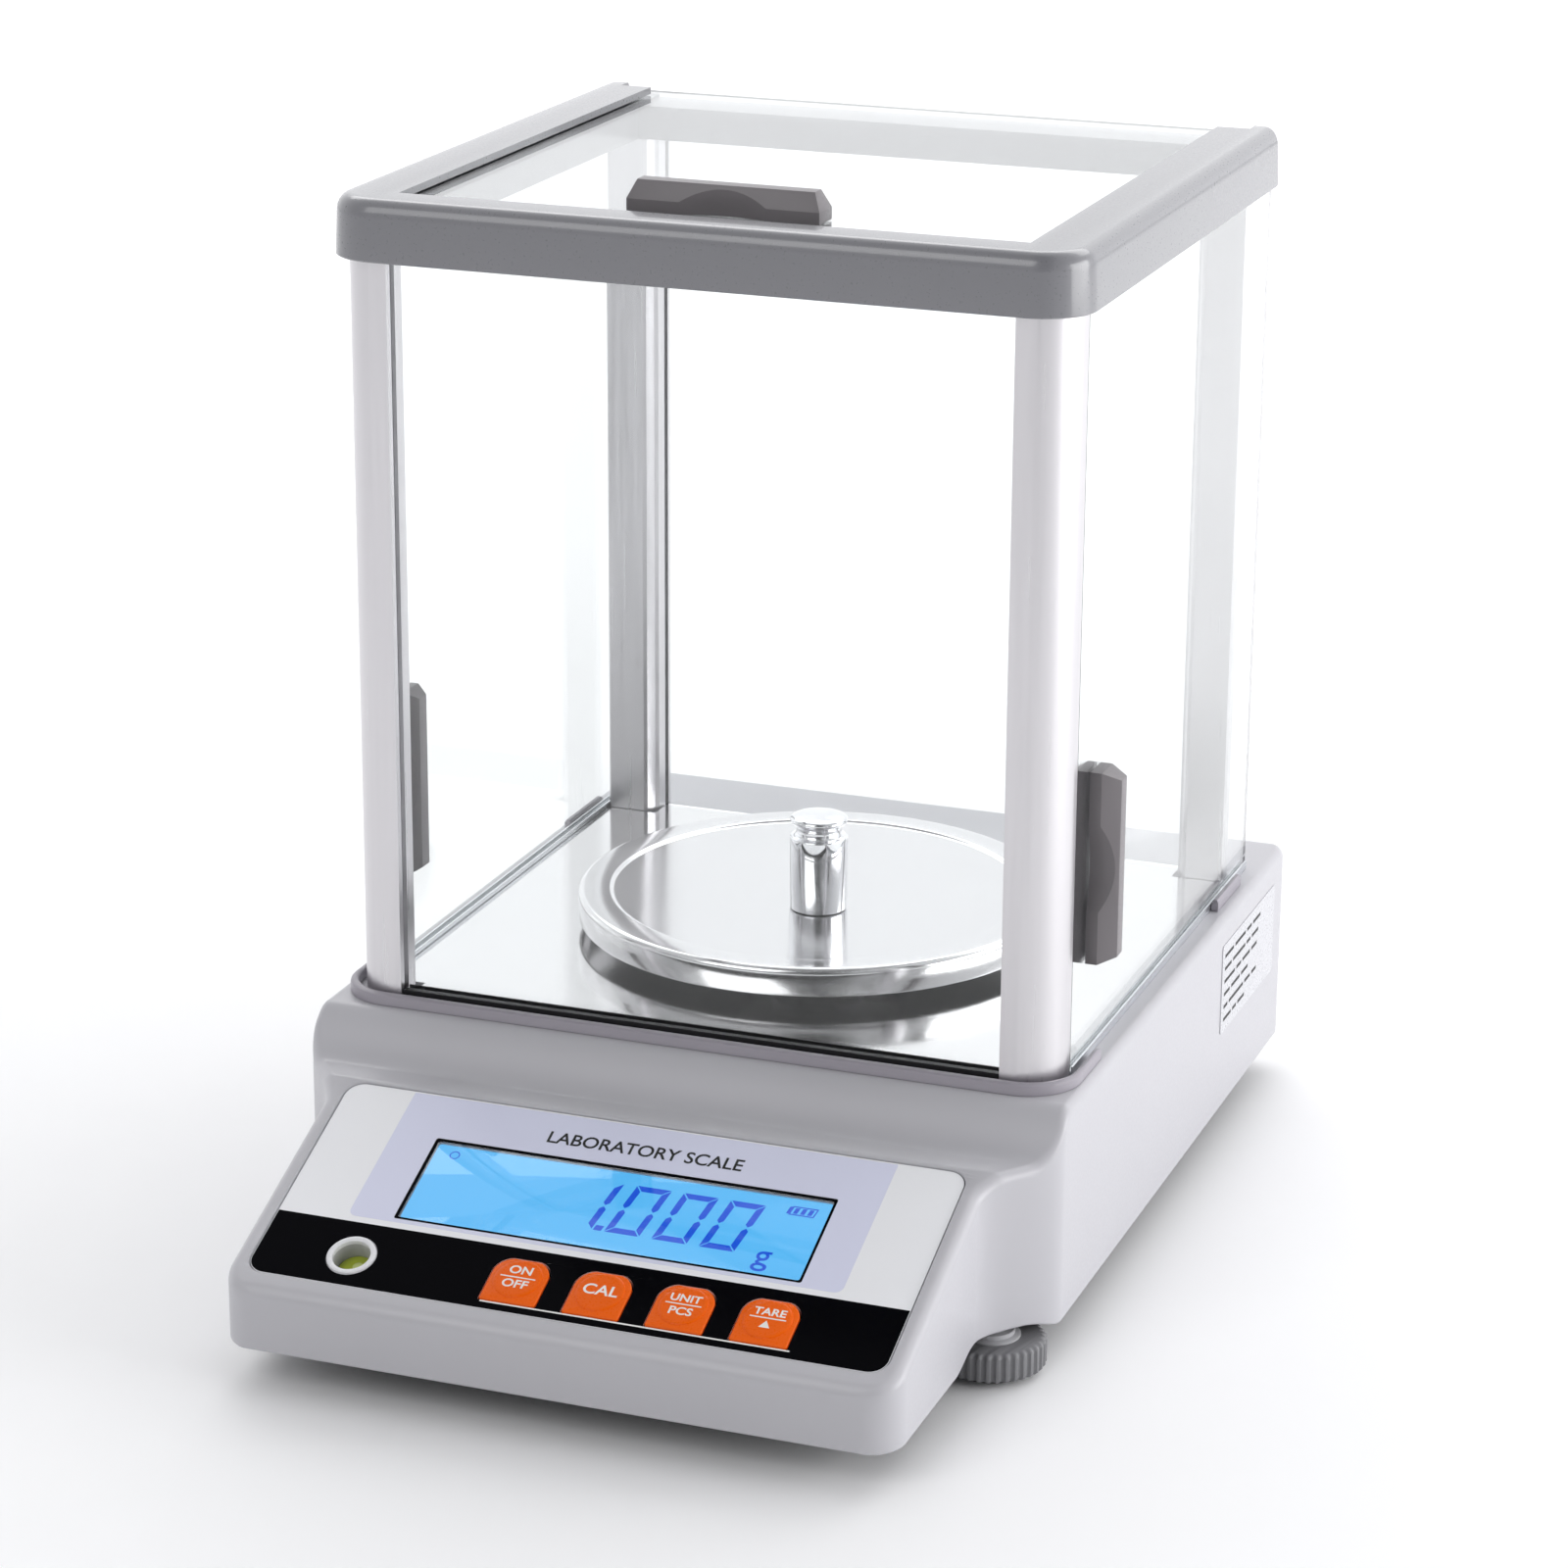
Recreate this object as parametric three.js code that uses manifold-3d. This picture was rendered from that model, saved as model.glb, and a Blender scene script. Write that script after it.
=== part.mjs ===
// Analytical balance with a glass draft shield, in millimetres.
// +Z is up, the control panel faces -Y, and the feet stand on z = 0.
import * as THREE from 'three';
import { mergeVertices } from 'three/addons/utils/BufferGeometryUtils.js';
import Module from 'manifold-3d';

const wasm = await Module();
wasm.setup();

// Housing
const FOOT_HEIGHT = 10;
const HOUSING_HALF_LENGTH = 153;
const HOUSING_HALF_WIDTH = 102;
const CONSOLE_HALF_WIDTH = 88;
const WAIST_FRONT_Y = -92;
const WAIST_BACK_Y = -66;
const FRONT_CORNER_R = 9;
const BACK_CORNER_R = 8;
const EDGE_R = 2.5;
const WALL = 3;
const CONSOLE_WALL = 4;
const SHELF_Z = FOOT_HEIGHT + 45.4;
const SHELF_BACK_Y = -76;
const DECK_FRONT_Y = -61;
const DECK_Z = FOOT_HEIGHT + 56.5;
const ARCH_Y = -86;
const ARCH_HALF_LENGTH = 21;
const ARCH_RISE = 3;

// Control panel: its lower edge, its slope and what is laid out on it
const PANEL_Y = -147.4;
const PANEL_Z = FOOT_HEIGHT + 18.8;
const PANEL_LENGTH = 68.3;
const PANEL_HALF_WIDTH = 83.4;
const PANEL_ANGLE = Math.atan2(26.2, 63.1);
const PANEL_RECESS = 1.4;
const PANEL_R = 5;
const OVERLAY_TOP = -0.4;
const KEY_X = [-14.2, 7.4, 28.9, 50.5];
const KEY_NAMES = ['on_off', 'cal', 'unit', 'tare'];
const KEY_S = 10.5;
const KEY_SIZE = 14.6;
const LCD = { x: 0.6, s: 38.9, w: 107.4, h: 28.8 };
const LEVEL = { x: -58.3, s: 10.2, r: 6.3 };

// Draft shield
const CHAMBER_FRONT_Y = -57;
const CHAMBER_BACK_Y = 124;
const PILLAR = 14.2;
const PILLAR_R = 12;
const FRONT_PILLAR_X = 95.8;
const BACK_PILLAR_X = 91.6;
const FRAME_Z = FOOT_HEIGHT + 252.5;
const FRAME_HEIGHT = 15.5;
const FRAME_HALF_WIDTH = 98.8;
const FRAME_FRONT_Y = -60.3;
const FRAME_BACK_Y = 126.5;
const OPENING_HALF_WIDTH = 82;
const OPENING_FRONT_Y = -47.6;
const GLASS = 3;
const DOOR_X = 92.6;
const DOOR_FRONT_Y = -42.4;
const DOOR_BACK_Y = 127;
const TOP_GLASS_Z = FRAME_Z + 10.3;
const GRIP = { length: 50.5, width: 9, height: 7.6, inner: 5.5, scoopR: 36.7, scoopDepth: 1.8 };
const DOOR_GRIP_Y = -27.5;
const DOOR_GRIP_Z = FOOT_HEIGHT + 108;
const TOP_GRIP_Y = -33;

// Weighing side
const PAN_Y = 36.5;
const PAN_R = 65;
const PAN_TOP_Z = DECK_Z + 12.4;
const WEIGHT_X = 5.5;
const WEIGHT_Y = 22;

// Feet
const FOOT_X = 87;
const FOOT_Y = -76;
const WHEEL_R = 14;
const STEM_R = 4;
const SHOULDER_R = 6;

const FINISHES = {
  housing: { color: 0xb4b3b9, roughness: 0.42, metalness: 0.15 },
  frame: { color: 0x8d8d94, roughness: 0.4, metalness: 0.15 },
  grip: { color: 0x615d61, roughness: 0.5, metalness: 0 },
  collar: { color: 0x8f8a95, roughness: 0.45, metalness: 0.05 },
  aluminium: { color: 0xd8d8da, roughness: 0.35, metalness: 0.85 },
  steel: { color: 0xd3d4d6, roughness: 0.16, metalness: 1 },
  chrome: { color: 0xe2e3e6, roughness: 0.08, metalness: 1 },
  glass: { color: 0xe3eeec, roughness: 0.03, metalness: 0 },
  gasket: { color: 0x17171a, roughness: 0.7, metalness: 0 },
  overlay: { color: 0xd5d6ea, roughness: 0.3, metalness: 0 },
  key: { color: 0xf06a08, roughness: 0.45, metalness: 0 },
  lcd: { color: 0x69ccff, roughness: 0.3, metalness: 0 },
  vial: { color: 0xc3dc3a, roughness: 0.1, metalness: 0 },
  bezel: { color: 0x9b9ba3, roughness: 0.35, metalness: 0.4 },
  board: { color: 0x1e6b3a, roughness: 0.6, metalness: 0 },
  battery: { color: 0x2d4a8a, roughness: 0.5, metalness: 0 },
  black: { color: 0x1c1c1f, roughness: 0.6, metalness: 0 },
  rubber: { color: 0x2a2a2c, roughness: 0.85, metalness: 0 },
  foot: { color: 0x77767b, roughness: 0.55, metalness: 0 },
  label: { color: 0xd9dbe2, roughness: 0.5, metalness: 0 },
};

const group = new THREE.Group();
group.name = 'analytical_balance';

function add(name, geometry, finish) {
  const material = new THREE.MeshStandardMaterial(FINISHES[finish]);
  material.name = finish;
  const mesh = new THREE.Mesh(geometry, material);
  mesh.name = name;
  group.add(mesh);
}

// Solids

function toManifold(geometry) {
  const plain = geometry.clone();
  plain.deleteAttribute('normal');
  plain.deleteAttribute('uv');
  const merged = mergeVertices(plain, 1e-4);
  const vertProperties = new Float32Array(merged.attributes.position.array);
  const triVerts = new Uint32Array(merged.index.array);
  return new wasm.Manifold(new wasm.Mesh({ numProp: 3, vertProperties, triVerts }));
}

function fromManifold(solid) {
  const mesh = solid.getMesh();
  const indexed = new THREE.BufferGeometry();
  indexed.setAttribute('position', new THREE.BufferAttribute(mesh.vertProperties, 3));
  indexed.setIndex(new THREE.BufferAttribute(mesh.triVerts, 1));
  const faceted = indexed.toNonIndexed();
  faceted.computeVertexNormals();
  return faceted;
}

function cut(body, ...tools) {
  const solid = tools.reduce((left, tool) => left.subtract(toManifold(tool)), toManifold(body));
  return fromManifold(solid);
}

function join(...bodies) {
  const [first, ...rest] = bodies.map(toManifold);
  return fromManifold(rest.reduce((sum, body) => sum.add(body), first));
}

function box(x0, x1, y0, y1, z0, z1) {
  const geometry = new THREE.BoxGeometry(x1 - x0, y1 - y0, z1 - z0);
  return geometry.translate((x0 + x1) / 2, (y0 + y1) / 2, (z0 + z1) / 2);
}

function cylinder(r, z0, z1, x = 0, y = 0, sides = 24) {
  const geometry = new THREE.CylinderGeometry(r, r, z1 - z0, sides);
  geometry.rotateX(Math.PI / 2);
  return geometry.translate(x, y, (z0 + z1) / 2);
}

function turned(profile, sides, x, y) {
  const points = profile.map(([r, z]) => new THREE.Vector2(r, z));
  const geometry = new THREE.LatheGeometry(points, sides);
  geometry.rotateX(Math.PI / 2);
  return geometry.translate(x, y, 0);
}

// Outline of a rectangle with one radius at its -Y corners and another at its +Y corners.
function roundedOutline(halfWidth, y0, y1, rFront, rBack, steps = 5) {
  const corners = [
    [halfWidth - rFront, y0 + rFront, rFront, -90],
    [halfWidth - rBack, y1 - rBack, rBack, 0],
    [-halfWidth + rBack, y1 - rBack, rBack, 90],
    [-halfWidth + rFront, y0 + rFront, rFront, 180],
  ];
  const outline = [];
  for (const [cx, cy, r, start] of corners) {
    for (let i = 0; i <= steps; i += 1) {
      const angle = THREE.MathUtils.degToRad(start + (90 * i) / steps);
      outline.push([cx + r * Math.cos(angle), cy + r * Math.sin(angle)]);
    }
  }
  return outline;
}

function plate(outline, z0, z1) {
  const shape = new THREE.Shape(outline.map(([x, y]) => new THREE.Vector2(x, y)));
  const geometry = new THREE.ExtrudeGeometry(shape, { depth: z1 - z0, bevelEnabled: false });
  return geometry.translate(0, 0, z0);
}

function roundedPlate(halfWidth, y0, y1, r, z0, z1) {
  return plate(roundedOutline(halfWidth, y0, y1, r, r), z0, z1);
}

// Closed skin over a row of convex rings that all have the same number of points.
function skin(rings) {
  const count = rings[0].length;
  const position = rings.flat(2);
  const index = [];
  for (let k = 0; k + 1 < rings.length; k += 1) {
    for (let i = 0; i < count; i += 1) {
      const a = k * count + i;
      const b = k * count + ((i + 1) % count);
      index.push(a, b, a + count, b, b + count, a + count);
    }
  }
  const ends = [[0, true], [rings.length - 1, false]];
  for (const [k, first] of ends) {
    const ring = rings[k];
    const centre = [0, 1, 2].map((axis) => ring.reduce((sum, p) => sum + p[axis], 0) / count);
    const hub = position.length / 3;
    position.push(...centre);
    for (let i = 0; i < count; i += 1) {
      const a = k * count + i;
      const b = k * count + ((i + 1) % count);
      index.push(hub, ...(first ? [b, a] : [a, b]));
    }
  }
  const geometry = new THREE.BufferGeometry();
  geometry.setAttribute('position', new THREE.Float32BufferAttribute(position, 3));
  geometry.setIndex(index);
  return facingOut(geometry);
}

function signedVolume(geometry) {
  const { array } = geometry.attributes.position;
  const vertex = (i) => new THREE.Vector3().fromArray(array, geometry.index.array[i] * 3);
  let volume = 0;
  for (let i = 0; i < geometry.index.count; i += 3) {
    volume += vertex(i).dot(vertex(i + 1).cross(vertex(i + 2))) / 6;
  }
  return volume;
}

function facingOut(geometry) {
  if (signedVolume(geometry) < 0) {
    const flipped = Array.from(geometry.index.array);
    for (let i = 0; i < flipped.length; i += 3) {
      [flipped[i], flipped[i + 1]] = [flipped[i + 1], flipped[i]];
    }
    geometry.setIndex(flipped);
  }
  const faceted = geometry.toNonIndexed();
  faceted.computeVertexNormals();
  return faceted;
}

// Housing shape: half-width and top height along the length

function smooth(t) {
  const u = THREE.MathUtils.clamp(t, 0, 1);
  return u * u * (3 - 2 * u);
}

function cornerInset(distance, r) {
  if (distance >= r) return 0;
  return r - Math.sqrt(Math.max(0, r * r - (r - distance) ** 2));
}

function halfWidthAt(y) {
  const blend = smooth((y - WAIST_FRONT_Y) / (WAIST_BACK_Y - WAIST_FRONT_Y));
  const straight = THREE.MathUtils.lerp(CONSOLE_HALF_WIDTH, HOUSING_HALF_WIDTH, blend);
  const front = cornerInset(y + HOUSING_HALF_LENGTH, FRONT_CORNER_R);
  const back = cornerInset(HOUSING_HALF_LENGTH - y, BACK_CORNER_R);
  return straight - front - back;
}

function panelHeightAt(y) {
  return PANEL_Z + (y - PANEL_Y) * Math.tan(PANEL_ANGLE);
}

function topAt(y) {
  const rise = smooth((y - SHELF_BACK_Y) / (DECK_FRONT_Y - SHELF_BACK_Y));
  const shelf = Math.min(panelHeightAt(y), SHELF_Z);
  const top = THREE.MathUtils.lerp(shelf, DECK_Z, rise);
  const front = cornerInset(y + HOUSING_HALF_LENGTH, 2.5);
  const back = cornerInset(HOUSING_HALF_LENGTH - y, 4);
  return top - front - back;
}

function bottomAt(y) {
  const t = 1 - Math.abs(y - ARCH_Y) / ARCH_HALF_LENGTH;
  return FOOT_HEIGHT + ARCH_RISE * smooth(t * 1.6);
}

function housingRing(y, halfWidth, bottom, top, r) {
  const ring = [];
  const steps = 3;
  for (const side of [1, -1]) {
    const arc = [];
    for (let i = 0; i <= steps; i += 1) {
      const angle = (Math.PI / 2) * (i / steps);
      arc.push([side * (halfWidth - r + r * Math.cos(angle)), y, top - r + r * Math.sin(angle)]);
    }
    arc.unshift([side * halfWidth, y, bottom]);
    ring.push(...(side > 0 ? arc : arc.reverse()));
  }
  return ring;
}

function spread(from, to, count) {
  return Array.from({ length: count }, (_, i) => from + ((to - from) * i) / (count - 1));
}

function housingStations() {
  const corner = [0, 0.35, 1.1, 2.3, 4, 6.2, 9];
  const front = corner.map((d) => -HOUSING_HALF_LENGTH + d);
  const back = corner.map((d) => HOUSING_HALF_LENGTH - d).reverse();
  const arch = spread(ARCH_Y - ARCH_HALF_LENGTH, WAIST_FRONT_Y - 2, 6);
  const waist = spread(WAIST_FRONT_Y, DECK_FRONT_Y, 22);
  return [...front, -125, ...arch, ...waist, 0, 80, ...back];
}

function housingSolid() {
  const rings = housingStations().map((y) => (
    housingRing(y, halfWidthAt(y), bottomAt(y), topAt(y), EDGE_R)));
  return skin(rings);
}

function cavitySolid() {
  const inner = HOUSING_HALF_LENGTH - WALL;
  const stations = [-inner, -inner + 6, ...spread(-110, -60, 12), 0, inner - 6, inner];
  const rings = stations.map((y) => {
    const end = y === inner || y === -inner ? 4 : 0;
    const wall = y < SHELF_BACK_Y ? CONSOLE_WALL : WALL;
    const halfWidth = Math.min(halfWidthAt(y) - WALL, halfWidthAt(y + 4) - WALL) - end;
    return housingRing(y, halfWidth, FOOT_HEIGHT - 5, topAt(y) - wall, 1);
  });
  return skin(rings);
}

// Moves a piece drawn flat (x across, y up the slope, z out of the panel) onto the panel.
function onPanel(geometry) {
  const matrix = new THREE.Matrix4().makeRotationX(PANEL_ANGLE);
  matrix.setPosition(0, PANEL_Y, PANEL_Z);
  return geometry.applyMatrix4(matrix);
}

// Key outline: straight sides with a domed upper edge.
function keyOutline(size) {
  const half = size / 2;
  const outline = roundedOutline(half, -half, half - 1.2, 0.8, 3.6, 3);
  return outline.map(([x, y]) => [x, y > 0 ? y + 1.2 * (1 - (x / half) ** 2) : y]);
}

function shifted(outline, dx, dy) {
  return outline.map(([x, y]) => [x + dx, y + dy]);
}

function lcdPlate(margin, z0, z1) {
  const geometry = roundedPlate(LCD.w / 2 + margin, -LCD.h / 2 - margin, LCD.h / 2 + margin, 0.8, z0, z1);
  return geometry.translate(LCD.x, LCD.s, 0);
}

const SCREWS = [[-76, -138], [76, -138], [-90, 138], [90, 138]];

function baseHousing() {
  const bosses = SCREWS.map(([x, y]) => cylinder(5, 14, topAt(y) - 1.5, x, y, 16));
  const sockets = [-1, 1].map((side) => cylinder(7, 14, 44, side * FOOT_X, FOOT_Y, 24));
  const shell = join(cut(housingSolid(), cavitySolid()), ...bosses, ...sockets);
  const holes = [
    ...SCREWS.map(([x, y]) => cylinder(1.8, 5, 24, x, y, 12)),
    ...[-1, 1].map((side) => cylinder(STEM_R + 0.3, 5, 40, side * FOOT_X, FOOT_Y, 24)),
    cylinder(12, DECK_Z - 8, DECK_Z + 2, 0, PAN_Y, 32),
    onPanel(roundedPlate(PANEL_HALF_WIDTH, 0, PANEL_LENGTH, PANEL_R, -PANEL_RECESS, 6)),
    onPanel(lcdPlate(-1, -8, 1)),
    onPanel(cylinder(LEVEL.r - 0.3, -8, 1, LEVEL.x, LEVEL.s, 24)),
    ...KEY_X.map((x) => onPanel(plate(shifted(keyOutline(KEY_SIZE + 0.8), x, KEY_S), -8, 1))),
    box(-71, -59, HOUSING_HALF_LENGTH - 6, HOUSING_HALF_LENGTH + 2, 26, 37),
  ];
  return cut(shell, ...holes);
}

function bottomPlate() {
  const outline = [];
  const stations = [-149.4, -144, -120, ...spread(WAIST_FRONT_Y, WAIST_BACK_Y, 7), 0, 144, 149.4];
  for (const side of [1, -1]) {
    const edge = stations.map((y) => {
      const end = Math.abs(y) > 149 ? 5 : 0;
      const halfWidth = Math.min(halfWidthAt(y), halfWidthAt(y + 3), halfWidthAt(y - 3)) - WALL - 1.2;
      return [side * (halfWidth - end), y];
    });
    outline.push(...(side > 0 ? edge : edge.reverse()));
  }
  const sheet = plate(outline, 11, 13.6);
  const footHoles = [-1, 1].map((side) => cylinder(STEM_R + 0.6, 9, 16, side * FOOT_X, FOOT_Y, 24));
  const screwHoles = SCREWS.map(([x, y]) => cylinder(2, 9, 16, x, y, 12));
  const vents = spread(-30, 30, 7).map((x) => box(x - 1.2, x + 1.2, 60, 90, 9, 16));
  return cut(sheet, ...footHoles, ...screwHoles, ...vents);
}

function bottomScrew([x, y]) {
  return join(cylinder(3.4, 9.2, 10.9, x, y, 16), cylinder(1.5, 10.5, 22, x, y, 12));
}

// Corner pillar: an extrusion with one large outer radius and a groove for the panes.
function pillar(side, xOuter, y0, front) {
  const steps = 8;
  const outline = [[0, 0], [PILLAR - PILLAR_R, 0]];
  for (let i = 1; i <= steps; i += 1) {
    const angle = (Math.PI / 2) * (i / steps);
    const along = PILLAR - PILLAR_R + PILLAR_R * Math.sin(angle);
    outline.push([along, PILLAR_R - PILLAR_R * Math.cos(angle)]);
  }
  outline.push([PILLAR, PILLAR], [0, PILLAR]);
  const towards = front ? 1 : -1;
  const placed = outline.map(([u, v]) => [side * (xOuter - PILLAR + u), y0 + towards * v]);
  const body = plate(placed, DECK_Z + 0.1, FRAME_Z - 0.1);
  const xGroove = side * (xOuter - PILLAR);
  const yGroove = y0 + towards * (front ? 4 : 3.5);
  const groove = box(xGroove - 2, xGroove + 2, yGroove - 1.8, yGroove + 1.8, DECK_Z - 1, FRAME_Z + 1);
  return cut(body, groove);
}

function chamberCollar() {
  const z0 = DECK_Z + 0.1;
  const levels = [[z0, 0], [z0 + 2.2, 0], [z0 + 3, 0.7]];
  const bar = skin(levels.map(([z, inset]) => (
    roundedOutline(99.8 - inset, -60.6 + inset, 10, 15 - inset, 5, 8).map(([x, y]) => [x, y, z]))));
  const hollow = plate(roundedOutline(98, -57.4, 30, 12.5, 5, 8), z0 - 2, z0 + 6);
  const behind = box(-110, 110, -28, 40, z0 - 2, z0 + 6);
  return cut(bar, hollow, behind);
}

// U channel that carries the lower edge of a sliding pane.
function doorTrack(side) {
  const x0 = DOOR_X - 0.8;
  const x1 = DOOR_X + GLASS + 0.7;
  const z0 = DECK_Z + 0.1;
  const channel = box(x0, x1, DOOR_FRONT_Y + 0.2, 126, z0, z0 + 2.2);
  const slot = box(x0 + 0.5, x1 - 0.5, DOOR_FRONT_Y - 2, 130, z0 + 0.6, z0 + 5);
  const track = cut(channel, slot);
  return side > 0 ? track : mirrored(track);
}

function mirrored(geometry) {
  const copy = geometry.index ? geometry.toNonIndexed() : geometry.clone();
  const { array } = copy.attributes.position;
  for (let i = 0; i < array.length; i += 9) {
    for (let axis = 0; axis < 3; axis += 1) {
      const sign = axis === 0 ? -1 : 1;
      const swapped = array[i + 3 + axis];
      array[i + axis] *= sign;
      array[i + 3 + axis] = sign * array[i + 6 + axis];
      array[i + 6 + axis] = sign * swapped;
    }
  }
  copy.computeVertexNormals();
  return copy;
}

function guideStub(side) {
  const x0 = DOOR_X + GLASS + 0.95;
  const x1 = x0 + 1.9;
  const z0 = DECK_Z + 0.1;
  const levels = [[z0, 0], [z0 + 2.4, 0], [z0 + 3.1, 0.5]];
  const rings = levels.map(([z, inset]) => [
    [x0 + inset, 88 + inset, z],
    [x1 - inset, 88 + inset, z],
    [x1 - inset, 112 - inset, z],
    [x0 + inset, 112 - inset, z],
  ]);
  const stub = skin(rings);
  return side > 0 ? stub : mirrored(stub);
}

function topFrame() {
  const levels = [[0, 0], [11, 0.5], [13, 0.9], [14.5, 1.9], [15.2, 3], [FRAME_HEIGHT, 4.4]];
  const rings = levels.map(([dz, inset]) => (
    roundedOutline(FRAME_HALF_WIDTH - inset, FRAME_FRONT_Y + inset, FRAME_BACK_Y - inset / 2,
      14 - inset, 5.5 - inset, 6).map(([x, y]) => [x, y, FRAME_Z + dz])));
  const far = FRAME_BACK_Y + 5;
  const top = FRAME_Z + FRAME_HEIGHT + 2;
  const back = CHAMBER_BACK_Y - PILLAR + 0.5;
  const slotX = [DOOR_X - 0.5, DOOR_X + GLASS + 0.5];
  const doorSlot = box(...slotX, DOOR_FRONT_Y - 0.6, far, FRAME_Z - 2, FRAME_Z + 6.5);
  const railStep = box(OPENING_HALF_WIDTH - 2, 91, 119.5, far, TOP_GLASS_Z, top);
  return cut(
    skin(rings),
    box(-OPENING_HALF_WIDTH, OPENING_HALF_WIDTH, OPENING_FRONT_Y, back, FRAME_Z - 2, top),
    box(-OPENING_HALF_WIDTH, OPENING_HALF_WIDTH, back - 1, far, TOP_GLASS_Z - 1, top),
    box(-88.3, 88.3, OPENING_FRONT_Y - 1.5, far, TOP_GLASS_Z - 0.3, TOP_GLASS_Z + GLASS + 0.3),
    doorSlot,
    mirrored(doorSlot),
    railStep,
    mirrored(railStep),
    box(-81, 81, -54.8, -51.2, FRAME_Z - 2, FRAME_Z + 4.3),
    box(-79, 79, 118.7, 122.3, FRAME_Z - 2, FRAME_Z + 4.3),
  );
}

// Finger grip, drawn lengthwise along X on z = 0: a hipped bar scooped out along both sides.
function grip(height) {
  const halfLength = GRIP.length / 2;
  const halfWidth = GRIP.width / 2;
  const levels = [[0, 0, 0], [height * 0.4, 0, 0], [height, 2, 2.3]];
  const rings = levels.map(([z, dx, dy]) => [
    [-halfLength + dx, -halfWidth + dy, z],
    [halfLength - dx, -halfWidth + dy, z],
    [halfLength - dx, halfWidth - dy, z],
    [-halfLength + dx, halfWidth - dy, z],
  ]);
  const reach = halfWidth + GRIP.scoopR - GRIP.scoopDepth;
  const scoops = [-reach, reach].map((y) => cylinder(GRIP.scoopR, -1, height + 1, 0, y, 96));
  return cut(skin(rings), ...scoops);
}

// Stands a grip upright against the outside (outward = 1) or inside of a side pane.
function doorGrip(side, outward) {
  const body = grip(outward > 0 ? GRIP.height : GRIP.inner);
  body.rotateY((outward * Math.PI) / 2);
  const face = outward > 0 ? DOOR_X + GLASS + 0.1 : DOOR_X - 0.1;
  body.translate(face, DOOR_GRIP_Y, DOOR_GRIP_Z);
  return side > 0 ? body : mirrored(body);
}

function weighingPan() {
  const z = PAN_TOP_Z;
  const profile = [
    [0, z - 0.6], [55.4, z - 0.6], [56, z], [63.2, z], [64.5, z - 0.5], [PAN_R, z - 1.7],
    [PAN_R, z - 7.6], [PAN_R - 1, z - 7.6], [PAN_R - 1, z - 1.8], [0, z - 1.8],
  ];
  return turned(profile.reverse(), 64, 0, PAN_Y);
}

function panSupport() {
  const top = PAN_TOP_Z - 1.9;
  const profile = [
    [0, 50.9], [9, 50.9], [9, 56], [6, 58], [6, top - 5], [22, top - 2], [22, top], [0, top],
  ];
  return turned(profile, 32, 0, PAN_Y);
}

function calibrationWeight() {
  const z = PAN_TOP_Z - 0.5;
  const profile = [
    [0, z], [7.1, z], [7.75, z + 0.6], [7.75, z + 20.1], [7.3, z + 20.6], [6.7, z + 20.7], [6.1, z + 21.7],
    [6, z + 22.6], [6.4, z + 23.5], [7.3, z + 24.2], [7.75, z + 24.9], [7.5, z + 25.6], [6.3, z + 26.1],
    [0, z + 26.4],
  ];
  return turned(profile, 28, WEIGHT_X, WEIGHT_Y);
}

function loadCell() {
  const bar = box(-10, 10, 20, 122, 30, 50);
  const bore = cylinder(7, -12, 12, 0, 0, 20).rotateY(Math.PI / 2);
  const windows = [52, 90].map((y) => bore.clone().translate(0, y, 40));
  return cut(bar, ...windows, box(-12, 12, 52, 90, 37, 43));
}

function board(x0, x1, y0, y1, z0, parts) {
  const chips = parts.map(([x, y, w, d, h]) => (
    box(x - w / 2, x + w / 2, y - d / 2, y + d / 2, z0 + 1, z0 + 1.6 + h)));
  return join(box(x0, x1, y0, y1, z0, z0 + 1.6), ...chips);
}

function footWheel(side) {
  const ribs = 36;
  const outline = Array.from({ length: ribs * 2 }, (_, i) => {
    const r = i % 2 ? WHEEL_R - 0.7 : WHEEL_R;
    const angle = (Math.PI * i) / ribs;
    return [side * FOOT_X + r * Math.cos(angle), FOOT_Y + r * Math.sin(angle)];
  });
  const wheel = plate(outline, 1.3, 8.9);
  const shoulder = cylinder(SHOULDER_R, 8, 10.8, side * FOOT_X, FOOT_Y, 28);
  return join(wheel, shoulder, cylinder(STEM_R, 8, 36, side * FOOT_X, FOOT_Y, 24));
}

function displayOverlay() {
  const corner = PANEL_R - 0.3;
  const outline = roundedOutline(PANEL_HALF_WIDTH - 0.3, 0.3, PANEL_LENGTH - 0.3, corner, corner);
  const sheet = plate(outline, -PANEL_RECESS + 0.1, OVERLAY_TOP);
  const openings = [
    lcdPlate(0, -4, 2),
    cylinder(LEVEL.r + 0.2, -4, 2, LEVEL.x, LEVEL.s, 24),
    ...KEY_X.map((x) => plate(shifted(keyOutline(KEY_SIZE + 0.6), x, KEY_S), -4, 2)),
  ];
  return onPanel(cut(sheet, ...openings));
}

function key(x) {
  const cap = plate(keyOutline(KEY_SIZE), -2.4, -0.2);
  const dome = cylinder(4.5, -0.6, 0.3, 0, 0.4, 24);
  const plunger = cylinder(2.5, -4.2, -2, 0, 0, 12);
  return onPanel(join(cap, dome, plunger).translate(x, KEY_S, 0));
}

function levelBezel() {
  const { r } = LEVEL;
  const profile = [[4.7, -1.2], [r, -1.2], [r, -0.1], [r - 0.6, 0.3], [4.7, 0], [4.7, -1.2]];
  return onPanel(turned(profile, 28, LEVEL.x, LEVEL.s));
}

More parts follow.
